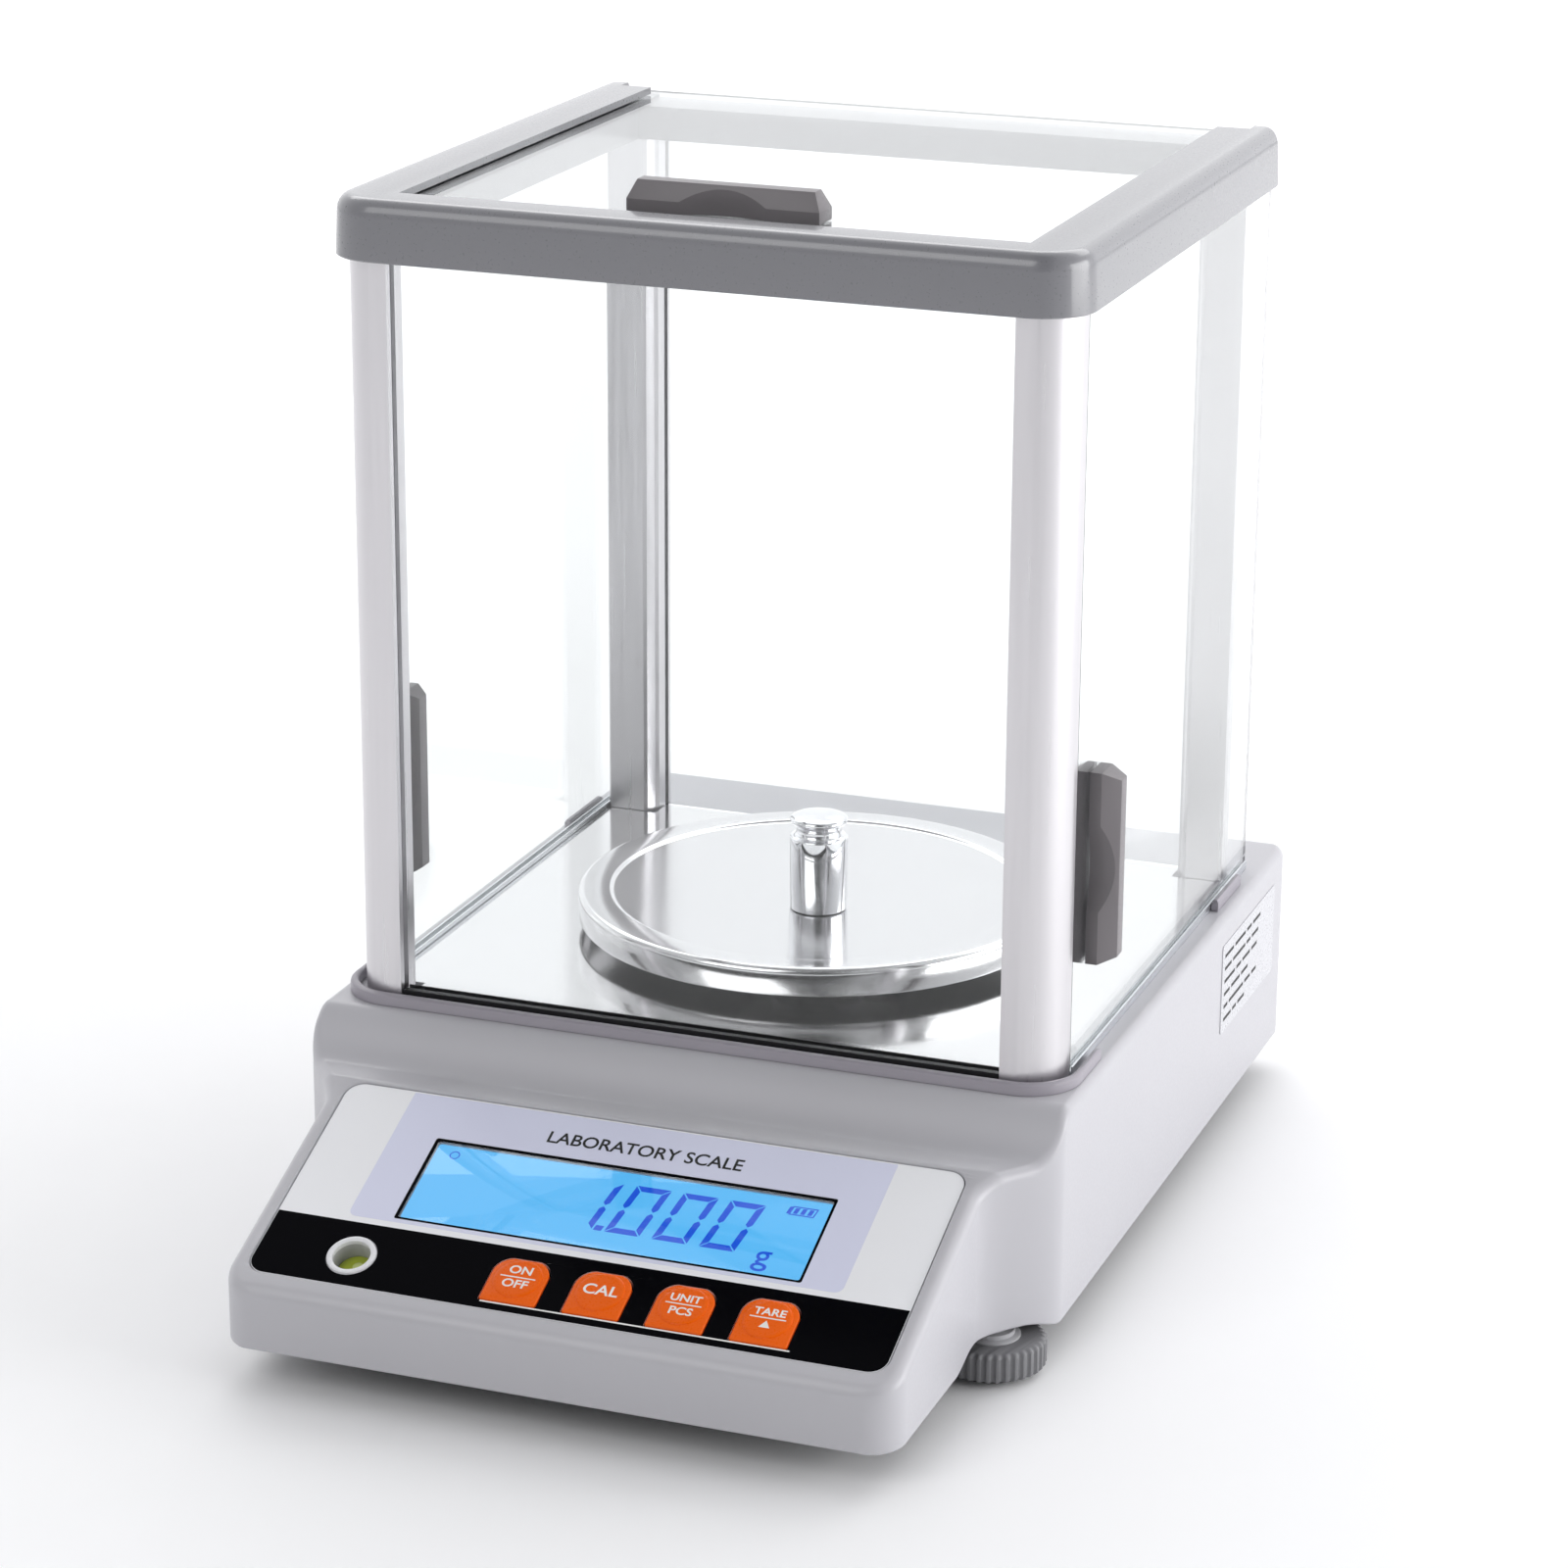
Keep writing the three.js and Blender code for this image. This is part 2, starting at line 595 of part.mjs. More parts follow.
function dcJack() {
  const body = box(-70.5, -59.5, 140, 152.6, 26.4, 36.6);
  const bore = cylinder(3, -8, 2, 0, 0, 16).rotateX(-Math.PI / 2).translate(-65, 152, 31.5);
  const pin = cylinder(1, -8.5, 0, 0, 0, 10).rotateX(-Math.PI / 2).translate(-65, 151.5, 31.5);
  return join(cut(body, bore), pin);
}

add('base_housing', baseHousing(), 'housing');
add('bottom_plate', bottomPlate(), 'black');
SCREWS.forEach((place, i) => add(`bottom_screw_${i + 1}`, bottomScrew(place), 'steel'));

const floorPlate = roundedPlate(DOOR_X - 1, -50.5, 117.6, 1, DECK_Z + 0.1, DECK_Z + 0.9);
const backPillarMiddle = BACK_PILLAR_X - PILLAR / 2;
const pillarClearance = [-1, 1].flatMap((side) => [
  box(side * 88.5 - 7.5, side * 88.5 + 7.5, -60, -42.3, DECK_Z - 2, DECK_Z + 4),
  box(side * backPillarMiddle - 7.7, side * backPillarMiddle + 7.7, 109.4, 130, DECK_Z - 2, DECK_Z + 4),
]);
const columnClearance = cylinder(13, DECK_Z - 2, DECK_Z + 4, 0, PAN_Y, 32);
add('floor_plate', cut(floorPlate, columnClearance, ...pillarClearance), 'steel');

add('chamber_collar', chamberCollar(), 'collar');
const gasketBar = box(-81.3, 81.3, -56.4, -50.9, DECK_Z + 0.1, DECK_Z + 3.6);
const gasketGroove = box(-83, 83, -54.6, -51.4, DECK_Z + 1.4, DECK_Z + 5);
add('front_gasket', cut(gasketBar, gasketGroove), 'gasket');
add('front_glass', box(-82.6, 82.6, -54.5, -51.5, DECK_Z + 1.5, FRAME_Z - 0.4), 'glass');
const backGlassHalf = BACK_PILLAR_X - PILLAR + 1.8;
add('back_glass', box(-backGlassHalf, backGlassHalf, 119, 122, DECK_Z + 0.2, FRAME_Z - 0.4), 'glass');

const topGlass = box(-88, 88, OPENING_FRONT_Y - 1.2, DOOR_BACK_Y, TOP_GLASS_Z, TOP_GLASS_Z + GLASS);
add('top_glass', topGlass, 'glass');
const topGrip = grip(GRIP.height).translate(0, TOP_GRIP_Y, TOP_GLASS_Z + GLASS + 0.1);
add('top_grip', topGrip, 'grip');
const topGripInner = grip(GRIP.inner).rotateX(Math.PI).translate(0, TOP_GRIP_Y, TOP_GLASS_Z - 0.1);
add('top_grip_inner', topGripInner, 'grip');
add('top_frame', topFrame(), 'frame');

for (const [label, side] of [['left', -1], ['right', 1]]) {
  add(`front_pillar_${label}`, pillar(side, FRONT_PILLAR_X, CHAMBER_FRONT_Y, true), 'aluminium');
  add(`back_pillar_${label}`, pillar(side, BACK_PILLAR_X, CHAMBER_BACK_Y, false), 'aluminium');
  add(`door_track_${label}`, doorTrack(side), 'aluminium');
  add(`door_guide_${label}`, guideStub(side), 'collar');
  const pane = box(DOOR_X, DOOR_X + GLASS, DOOR_FRONT_Y, DOOR_BACK_Y, DECK_Z + 0.9, FRAME_Z + 6);
  add(`door_glass_${label}`, side > 0 ? pane : mirrored(pane), 'glass');
  add(`door_grip_${label}`, doorGrip(side, 1), 'grip');
  add(`door_grip_inner_${label}`, doorGrip(side, -1), 'grip');
  add(`foot_wheel_${label}`, footWheel(side), 'foot');
  add(`foot_pad_${label}`, cylinder(10, 0, 1.2, side * FOOT_X, FOOT_Y, 28), 'rubber');
  const rearFoot = turned([[0, 0], [8, 0], [9, 1.2], [9, 10.9], [0, 10.9]], 28, side * 70, 125);
  add(`rear_foot_${label}`, rearFoot, 'rubber');
}

add('display_overlay', displayOverlay(), 'overlay');
add('lcd_window', onPanel(lcdPlate(-0.2, -1.2, -0.6)), 'glass');
add('lcd_module', onPanel(lcdPlate(-1.4, -9, -1.4)), 'lcd');
const display = board(-58, 60, 22, 57, -10.8, []);
add('display_board', onPanel(display), 'board');
const switches = KEY_X.map((x) => [x, KEY_S, 6, 6, 1.4]);
add('keypad_board', onPanel(board(-24, 62, 2, 18, -8.2, switches)), 'board');
KEY_X.forEach((x, i) => add(`key_${KEY_NAMES[i]}`, key(x), 'key'));
add('level_bezel', levelBezel(), 'bezel');
add('level_vial', onPanel(cylinder(LEVEL.r - 0.6, -7, -1.3, LEVEL.x, LEVEL.s, 24)), 'vial');

const mainParts = [[-55, 0, 14, 14, 2], [-35, 30, 10, 6, 2], [-70, 45, 8, 20, 9], [-60, -40, 12, 8, 5]];
add('main_board', board(-86, -24, -56, 62, 20, mainParts), 'board');
add('battery_pack', roundedPlate(32, -25, 25, 4, 0, 22).translate(56, -18, 14), 'battery');
add('load_cell', loadCell(), 'aluminium');
add('load_cell_mount', box(-18, 18, 98, 126, 13.7, 29.9), 'aluminium');
add('pan_support', panSupport(), 'steel');
add('weighing_pan', weighingPan(), 'steel');
add('calibration_weight', calibrationWeight(), 'chrome');
add('dc_jack', dcJack(), 'black');
add('rating_label', box(HOUSING_HALF_WIDTH + 0.05, HOUSING_HALF_WIDTH + 0.35, 81, 137, 33, 59), 'label');

export default group;
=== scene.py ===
import math

import bmesh
import bpy
from mathutils import Matrix, Vector


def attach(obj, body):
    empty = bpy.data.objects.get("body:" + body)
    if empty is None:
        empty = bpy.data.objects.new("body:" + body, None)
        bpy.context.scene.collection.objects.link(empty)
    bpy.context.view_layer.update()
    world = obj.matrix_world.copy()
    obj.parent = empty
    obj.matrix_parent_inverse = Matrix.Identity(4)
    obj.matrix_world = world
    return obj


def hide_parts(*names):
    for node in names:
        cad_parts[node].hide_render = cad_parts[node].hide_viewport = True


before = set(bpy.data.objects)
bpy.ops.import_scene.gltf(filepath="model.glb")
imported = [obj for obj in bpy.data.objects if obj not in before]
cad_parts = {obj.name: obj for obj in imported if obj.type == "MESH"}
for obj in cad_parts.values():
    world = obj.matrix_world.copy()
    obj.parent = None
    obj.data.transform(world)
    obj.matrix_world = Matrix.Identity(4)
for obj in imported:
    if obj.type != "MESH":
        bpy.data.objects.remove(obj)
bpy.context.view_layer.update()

# Shapes are given in millimetres in the row frame: +Z up, the control panel towards -Y.
MM = 0.001
SCENE = bpy.context.scene

# Housing
FOOT_HEIGHT = 10
HALF_LENGTH = 153
HALF_WIDTH = 102
CONSOLE_HALF_WIDTH = 88
WAIST = (-92, -66)
CORNER_FRONT_R = 9
CORNER_BACK_R = 8
TOP_FRONT_R = 2.5
TOP_BACK_R = 4
BOTTOM_R = 0.8
DECK_Z = 66.5
SHELF_Z = 55.4
SHELF_BACK_Y = -76
DECK_FRONT_Y = -61
ARCH_Y = -86
ARCH_HALF_LENGTH = 21
ARCH_RISE = 3
COLUMN_HOLE_R = 12

# Control panel
PANEL_Y = -147.4
PANEL_Z = 28.8
PANEL_LENGTH = 68.3
PANEL_HALF_WIDTH = 83.4
PANEL_ANGLE = math.atan2(26.2, 63.1)
PANEL = Matrix.Translation((0, PANEL_Y, PANEL_Z)) @ Matrix.Rotation(PANEL_ANGLE, 4, "X")
SHEET_TOP = -0.4
SHEET_GAP = 0.3
INK = 0.03
BAND_TOP = 21.3
KEYS = {"on_off": -14.2, "cal": 7.4, "unit": 28.9, "tare": 50.5}
KEY_S = 10.5
KEY_SIZE = 14.6
LCD = (0.6, 38.9, 107.4, 28.8)
LCD_FACE = -1.9
SEGMENT = 1.75
SEGMENT_GAP = 0.22
DIGIT_W, DIGIT_H = 9.2, 16.4
DIGIT_PITCH = 12.4
DIGIT_S = 32.2
SLANT = 0.175
LEVEL = (-58.3, 10.2)
LEVEL_R = 6.3

# Draft shield
PILLAR = 14.2
PILLAR_R = 12
FRONT_PILLAR = (95.8, -57)
BACK_PILLAR = (91.6, 124)
FRAME_Z = 262.5
FRAME_HALF_WIDTH = 98.8
FRAME_FRONT_Y = -60.3
FRAME_BACK_Y = 126.5
OPENING_HALF_WIDTH = 82
OPENING_FRONT_Y = -47.6
DOOR_X = 92.6
GLASS = 3
TOP_GLASS_Z = 272.8
FIT = 0.1
GRIP_LENGTH = 50.5
GRIP_WIDTH = 9
GRIP_HEIGHT = 7.6
GRIP_INNER = 5.5
SCOOP_R = 36.7
SCOOP_DEPTH = 1.8
DOOR_GRIP_Y = -27.5
DOOR_GRIP_Z = 118
TOP_GRIP_Y = -33

# Weighing side
PAN_Y = 36.5
PAN_R = 65
PAN_TOP = 78.9
WEIGHT_X = 5.5
WEIGHT_Y = 22
WEIGHT_R = 7.75
FOOT_X = 87
FOOT_Y = -76
LABEL_Y = 109
LABEL_Z = 46

# Studio
FLOOR_HALF = 6000
WORLD_FRONT = 0.5
WORLD_BACK = 1.3
WORLD_TOP = 0.85
GAP_AZIMUTH = math.radians(20)
GAP_LEVEL = 0.06
AZIMUTH = math.radians(20.26)
ELEVATION = math.radians(18.27)
ROLL = math.radians(0.35)
DISTANCE = 1.2
TARGET = Vector((0.0028, 0.0010, 0.1189))
LENS = 105.12


# Materials

def principled(name):
    mat = bpy.data.materials.new(name)
    mat.use_nodes = True
    tree = mat.node_tree
    return mat, tree, tree.nodes["Principled BSDF"]


def noise_node(tree, scale, detail=2.0, stretch=None):
    coords = tree.nodes.new("ShaderNodeTexCoord")
    noise = tree.nodes.new("ShaderNodeTexNoise")
    noise.inputs["Scale"].default_value = scale
    noise.inputs["Detail"].default_value = detail
    source = coords.outputs["Object"]
    if stretch:
        mapping = tree.nodes.new("ShaderNodeMapping")
        mapping.inputs["Scale"].default_value = stretch
        tree.links.new(source, mapping.inputs["Vector"])
        source = mapping.outputs["Vector"]
    tree.links.new(source, noise.inputs["Vector"])
    return noise.outputs["Fac"]


def ranged(tree, value, low, high, start=0.3, end=0.7, soft=False):
    """Maps start..end to low..high, with soft ends where asked."""
    node = tree.nodes.new("ShaderNodeMapRange")
    if soft:
        node.interpolation_type = "SMOOTHSTEP"
    node.inputs["From Min"].default_value = start
    node.inputs["From Max"].default_value = end
    node.inputs["To Min"].default_value = low
    node.inputs["To Max"].default_value = high
    tree.links.new(value, node.inputs["Value"])
    return node.outputs["Result"]


def tinted(tree, value, low, high):
    mix = tree.nodes.new("ShaderNodeMix")
    mix.data_type = "RGBA"
    mix.inputs["A"].default_value = (*low, 1)
    mix.inputs["B"].default_value = (*high, 1)
    tree.links.new(value, mix.inputs["Factor"])
    return mix.outputs["Result"]


GRAIN_DEPTH = 0.05


def surface(name, color, rough, metal=0.0, grain=900, bump=0.06, vary=0.05, rough_vary=0.06,
            stretch=None, coat=0.0, mottle=25, specular=0.5):
    """A moulded, painted or metal surface: fine grain in the bump, broad variation in colour and gloss."""
    mat, tree, bsdf = principled(name)
    bsdf.inputs["Metallic"].default_value = metal
    bsdf.inputs["Coat Weight"].default_value = coat
    bsdf.inputs["Coat Roughness"].default_value = 0.08
    bsdf.inputs["Specular IOR Level"].default_value = specular
    broad = noise_node(tree, mottle, 3.0)
    low = [c * (1 - vary) for c in color]
    high = [min(1, c * (1 + vary)) for c in color]
    tree.links.new(tinted(tree, broad, low, high), bsdf.inputs["Base Color"])
    fine = noise_node(tree, grain, 3.0, stretch)
    rough_out = ranged(tree, fine, max(0.02, rough - rough_vary), rough + rough_vary)
    tree.links.new(rough_out, bsdf.inputs["Roughness"])
    if bump:
        node = tree.nodes.new("ShaderNodeBump")
        node.inputs["Strength"].default_value = bump
        node.inputs["Distance"].default_value = GRAIN_DEPTH * MM
        tree.links.new(fine, node.inputs["Height"])
        tree.links.new(node.outputs["Normal"], bsdf.inputs["Normal"])
    return mat


def glass(name, color, edge=None, density=0.0):
    """Clear pane with faint smears in its gloss; edge tints the light that runs along inside it."""
    mat, tree, bsdf = principled(name)
    bsdf.inputs["Transmission Weight"].default_value = 1.0
    bsdf.inputs["IOR"].default_value = 1.45
    smear = noise_node(tree, 18, 4.0)
    tree.links.new(ranged(tree, smear, 0.0, 0.012), bsdf.inputs["Roughness"])
    low = [c * 0.993 for c in color]
    tree.links.new(tinted(tree, smear, low, color), bsdf.inputs["Base Color"])
    if edge:
        inside = tree.nodes.new("ShaderNodeVolumeAbsorption")
        inside.inputs["Color"].default_value = (*edge, 1)
        inside.inputs["Density"].default_value = density
        output = next(node for node in tree.nodes if node.type == "OUTPUT_MATERIAL")
        tree.links.new(inside.outputs["Volume"], output.inputs["Volume"])
    return mat


def glowing(name, color, strength):
    """A lit display layer with a faint unevenness in its light."""
    mat, tree, bsdf = principled(name)
    broad = noise_node(tree, 12, 1.0)
    low = [c * 0.96 for c in color]
    tree.links.new(tinted(tree, broad, low, color), bsdf.inputs["Emission Color"])
    tree.links.new(tinted(tree, broad, [c * 0.1 for c in color], [c * 0.14 for c in color]),
                   bsdf.inputs["Base Color"])
    bsdf.inputs["Emission Strength"].default_value = strength
    bsdf.inputs["Roughness"].default_value = 0.4
    bsdf.inputs["Specular IOR Level"].default_value = 0.1
    return mat


HOUSING = surface("housing_paint", (0.50, 0.495, 0.525), 0.34, grain=1400, bump=0.09, vary=0.02,
                  specular=0.55)
FRAME_PAINT = surface("frame_paint", (0.19, 0.19, 0.207), 0.32, grain=1400, bump=0.08, vary=0.02,
                      specular=0.7, coat=0.7)
COLLAR = surface("collar_plastic", (0.33, 0.31, 0.35), 0.36, grain=1400, bump=0.08, vary=0.03)
GRIP = surface("grip_plastic", (0.20, 0.185, 0.195), 0.4, grain=1600, bump=0.14, vary=0.05)
ALUMINIUM = surface("anodised_aluminium", (0.68, 0.665, 0.685), 0.33, metal=0.92, grain=900, bump=0.05,
                    stretch=(1, 1, 0.02), vary=0.02)
TRACK = surface("track_aluminium", (0.72, 0.74, 0.77), 0.28, metal=0.9, grain=900, bump=0.05,
                stretch=(1, 0.02, 1), vary=0.03)
STEEL = surface("floor_steel", (0.80, 0.795, 0.80), 0.12, metal=1.0, grain=1100, bump=0.03,
                stretch=(0.03, 1, 1), vary=0.02, rough_vary=0.035)
PAN_STEEL = surface("pan_steel", (0.74, 0.735, 0.745), 0.15, metal=1.0, grain=700, bump=0.012, vary=0.02,
                    rough_vary=0.03)
CHROME = surface("weight_chrome", (0.84, 0.84, 0.86), 0.045, metal=1.0, grain=500, bump=0.01, vary=0.02,
                 rough_vary=0.02)
DARK_STEEL = surface("support_steel", (0.42, 0.42, 0.43), 0.3, metal=1.0, grain=700, bump=0.03, vary=0.04)
PANE = glass("pane_glass", (0.995, 0.998, 0.998), (0.62, 0.80, 0.78), 16)
WINDOW = glass("window_acrylic", (0.99, 0.995, 1.0))
GASKET = surface("gasket_rubber", (0.012, 0.012, 0.014), 0.5, grain=1500, bump=0.2)
BLACK = surface("black_plastic", (0.02, 0.02, 0.022), 0.55, grain=1100, bump=0.3, vary=0.1)
RUBBER = surface("foot_rubber", (0.03, 0.03, 0.03), 0.75, grain=1300, bump=0.35, vary=0.12)
FOOT = surface("foot_plastic", (0.20, 0.20, 0.21), 0.5, grain=1300, bump=0.2, vary=0.06)
STEM = surface("stem_plastic", (0.50, 0.50, 0.52), 0.45, grain=1300, bump=0.12, vary=0.04)
FILM_WHITE = surface("film_white", (0.90, 0.905, 0.93), 0.16, grain=1500, bump=0.02, vary=0.012)
FILM_LAVENDER = surface("film_lavender", (0.72, 0.735, 0.90), 0.16, grain=1500, bump=0.02, vary=0.03)
FILM_BLACK = surface("film_black", (0.002, 0.002, 0.003), 0.13, grain=1500, bump=0.02, vary=0.1,
                     specular=0.02)
KEY_FILM = surface("key_film", (0.90, 0.125, 0.0), 0.3, grain=1700, bump=0.05, vary=0.05, mottle=90,
                   specular=0.2)
INK_WHITE = surface("ink_white", (0.88, 0.88, 0.86), 0.4, grain=1500, bump=0.03, vary=0.02)
INK_BLACK = surface("ink_black", (0.002, 0.002, 0.003), 0.5, grain=1500, bump=0.03, vary=0.1)
LCD_GLOW = glowing("display_backlight", (0.10, 0.53, 1.0), 0.92)
LCD_INK = glowing("display_segments", (0.0, 0.09, 0.78), 0.85)
RING = surface("level_ring", (0.80, 0.80, 0.82), 0.25, grain=1300, bump=0.04, vary=0.02)
VIAL = surface("level_fluid", (0.42, 0.50, 0.03), 0.08, grain=400, bump=0.0, vary=0.2, coat=0.8, mottle=300)
BUBBLE = surface("level_bubble", (0.62, 0.70, 0.22), 0.05, grain=400, bump=0.0, vary=0.05, coat=1.0)
LABEL = surface("label_film", (0.56, 0.56, 0.59), 0.3, grain=1500, bump=0.03, vary=0.02)
BOARD = surface("circuit_board", (0.02, 0.15, 0.05), 0.4, grain=600, bump=0.2, vary=0.2)
BATTERY = surface("battery_sleeve", (0.03, 0.07, 0.25), 0.35, grain=500, bump=0.1, vary=0.1)
SCREW = surface("screw_steel", (0.55, 0.55, 0.57), 0.25, metal=1.0, grain=900, bump=0.05)
FLOOR_MAT = surface("studio_floor", (0.94, 0.94, 0.945), 0.6, grain=60, bump=0.01, vary=0.006, mottle=2,
                    specular=0.2)


# Mesh building

def new_object(name, mesh):
    obj = bpy.data.objects.new(name, mesh)
    SCENE.collection.objects.link(obj)
    return obj


def mesh_object(name, verts, faces, matrix=None):
    mesh = bpy.data.meshes.new(name)
    place = matrix or Matrix()
    mesh.from_pydata([(place @ Vector(v)) * MM for v in verts], [], faces)
    build = bmesh.new()
    build.from_mesh(mesh)
    bmesh.ops.remove_doubles(build, verts=build.verts, dist=1e-7)
    bmesh.ops.recalc_face_normals(build, faces=build.faces)
    build.to_mesh(mesh)
    build.free()
    return new_object(name, mesh)


def skin(name, rings, matrix=None):
    """Skin over rings of points, capped at its first and last ring."""
    count = len(rings[0])
    verts = [p for points in rings for p in points]
    faces = []
    for k in range(len(rings) - 1):
        a, b = k * count, (k + 1) * count
        for i in range(count):
            j = (i + 1) % count
            faces.append((a + i, a + j, b + j, b + i))
    faces.append(tuple(range(count))[::-1])
    faces.append(tuple(len(verts) - count + i for i in range(count)))
    return mesh_object(name, verts, faces, matrix)


def turned(name, profile, steps=128, x=0.0, y=0.0, matrix=None):
    """Solid of revolution; its (radius, height) points end on the axis or where they start."""
    rings = []
    for k in range(steps):
        angle = 2 * math.pi * k / steps
        rings.append([(x + r * math.cos(angle), y + r * math.sin(angle), z) for r, z in profile])
    count = len(profile)
    verts = [p for points in rings for p in points]
    faces = []
    for k in range(steps):
        a, b = k * count, ((k + 1) % steps) * count
        for i in range(count - 1):
            faces.append((a + i, b + i, b + i + 1, a + i + 1))
    obj = mesh_object(name, verts, faces, matrix)
    build = bmesh.new()
    build.from_mesh(obj.data)
    bmesh.ops.dissolve_degenerate(build, dist=1e-7, edges=build.edges)
    bmesh.ops.recalc_face_normals(build, faces=build.faces)
    build.to_mesh(obj.data)
    build.free()
    return obj


def rounded(half_width, y0, y1, r_front, r_back, steps):
    """Outline of a rectangle with one radius at its -Y corners and another at its +Y corners."""
    corners = (
        (half_width - r_front, y0 + r_front, r_front, -90),
        (half_width - r_back, y1 - r_back, r_back, 0),
        (-half_width + r_back, y1 - r_back, r_back, 90),
        (-half_width + r_front, y0 + r_front, r_front, 180),
    )
    outline = []
    for cx, cy, r, start in corners:
        for i in range(steps + 1):
            angle = math.radians(start + 90 * i / steps)
            outline.append((cx + r * math.cos(angle), cy + r * math.sin(angle)))
    return outline


def prism(name, outline, z0, z1, matrix=None, edge=0.0):
    """Extruded outline; edge is the radius of its upper rim."""
    levels = [(z0, 0.0), (z1 - edge, 0.0)]
    if edge:
        for angle in (math.pi / 6, math.pi / 3, math.pi / 2):
            levels.append((z1 - edge + edge * math.sin(angle), edge * (1 - math.cos(angle))))
    rings = [[(x, y, z) for x, y in inset(outline, d)] for z, d in levels]
    return skin(name, rings, matrix)


def inset(outline, distance):
    """Outline moved inwards by a distance, for a counter-clockwise outline."""
    if not distance:
        return outline
    moved = []
    count = len(outline)
    for i, point in enumerate(outline):
        before, after = Vector(outline[i - 1]), Vector(outline[(i + 1) % count])
        here = Vector(point)
        a = (here - before).normalized() if (here - before).length > 1e-9 else (after - here).normalized()
        b = (after - here).normalized() if (after - here).length > 1e-9 else a
        normal = Vector((-(a.y + b.y), a.x + b.x))
        if normal.length < 1e-9:
            moved.append(point)
            continue
        normal.normalize()
        mitre = max(0.5, normal.dot(Vector((-a.y, a.x))))
        moved.append(tuple(here + normal * distance / mitre))
    return moved


def shifted(outline, dx, dy):
    return [(x + dx, y + dy) for x, y in outline]


def flat(name, outlines, z0, z1, matrix=None):
    """Sheet from an outline and the holes in it."""
    curve = bpy.data.curves.new(name, "CURVE")
    curve.dimensions = "2D"
    curve.fill_mode = "BOTH"
    curve.extrude = (z1 - z0) / 2 * MM
    for outline in outlines:
        spline = curve.splines.new("POLY")
        spline.points.add(len(outline) - 1)
        for point, (x, y) in zip(spline.points, outline):
            point.co = (x * MM, y * MM, 0, 1)
        spline.use_cyclic_u = True
    return from_curve(name, curve, (z0 + z1) / 2, matrix)


def from_curve(name, curve, z, matrix=None):
    """Mesh of a filled curve, lifted by z and placed by a matrix in millimetres."""
    source = new_object(name + "_source", curve)
    graph = bpy.context.evaluated_depsgraph_get()
    mesh = bpy.data.meshes.new_from_object(source.evaluated_get(graph))
    place = matrix or Matrix()
    lift = Matrix.Translation((0, 0, z * MM))
    scaled = Matrix.Translation(place.to_translation() * MM) @ place.to_3x3().to_4x4()
    mesh.transform(scaled @ lift)
    bpy.data.objects.remove(source)
    bpy.data.curves.remove(curve)
    build = bmesh.new()
    build.from_mesh(mesh)
    bmesh.ops.remove_doubles(build, verts=build.verts, dist=1e-7)
    bmesh.ops.recalc_face_normals(build, faces=build.faces)
    build.to_mesh(mesh)
    build.free()
    mesh.materials.clear()
    return new_object(name, mesh)


def lettering(name, words, x, s, size, z, matrix, bold, width=1.0, thick=INK):
    curve = bpy.data.curves.new(name, "FONT")
    curve.body = words
    curve.size = size * MM
    curve.align_x = "CENTER"
    curve.align_y = "CENTER"
    curve.extrude = thick / 2 * MM
    curve.offset = bold * MM
    curve.resolution_u = 4
    stretch = Matrix.Diagonal((width, 1, 1, 1))
    place = matrix @ Matrix.Translation((x, s, 0)) @ stretch
    return from_curve(name, curve, 0, place @ Matrix.Translation((0, 0, z)))


def baked(obj):
    """Turns an object's modifiers into mesh."""
    graph = bpy.context.evaluated_depsgraph_get()
    mesh = bpy.data.meshes.new_from_object(obj.evaluated_get(graph))
    obj.modifiers.clear()
    obj.data = mesh
    return obj


def carved(obj, *tools):
    for tool in tools:
        modifier = obj.modifiers.new("cut", "BOOLEAN")
        modifier.operation = "DIFFERENCE"
        modifier.solver = "EXACT"
        modifier.object = tool
    baked(obj)
    for tool in tools:
        bpy.data.objects.remove(tool)
    return obj


def bevelled(obj, width, segments=2, angle=35):
    modifier = obj.modifiers.new("edge", "BEVEL")
    modifier.width = width * MM
    modifier.segments = segments
    modifier.limit_method = "ANGLE"
    modifier.angle_limit = math.radians(angle)
    modifier.harden_normals = False
    return obj


def smooth(obj, angle=35):
    obj.data.polygons.foreach_set("use_smooth", [True] * len(obj.data.polygons))
    obj.data.set_sharp_from_angle(angle=math.radians(angle))
    return obj


def piece(obj, mat, body, *nodes, slot=None, angle=35):
    """Gives a mesh its finish, its body and the CAD nodes that it stands in for."""
    obj.data.materials.clear()
    obj.data.materials.append(mat)
    smooth(obj, angle)
    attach(obj, body)
    if nodes:
        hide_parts(*nodes)
    return obj


def carry(node, mat, width=0.0, segments=2):
    """Keeps a CAD node and gives it a finish and softened edges."""
    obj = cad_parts[node]
    obj.data.materials.clear()
    obj.data.materials.append(mat)
    if width:
        bevelled(obj, width, segments, 30)
    return obj


def block(name, x0, x1, y0, y1, z0, z1):
    outline = [(x0, y0), (x1, y0), (x1, y1), (x0, y1)]
    return skin(name, [[(x, y, z) for x, y in outline] for z in (z0, z1)])


def mirror_x(obj):
    obj.data.transform(Matrix.Scale(-1, 4, (1, 0, 0)))
    obj.data.flip_normals()
    return obj


# Housing

def ease(t):
    t = min(1.0, max(0.0, t))
    return t * t * (3 - 2 * t)


def lerp(a, b, t):
    return a + (b - a) * t


def corner_inset(distance, r):
    """How far a corner of radius r has curved in, at a distance from its end."""
    if distance >= r:
        return 0.0
    return r - math.sqrt(max(0.0, r * r - (r - distance) ** 2))


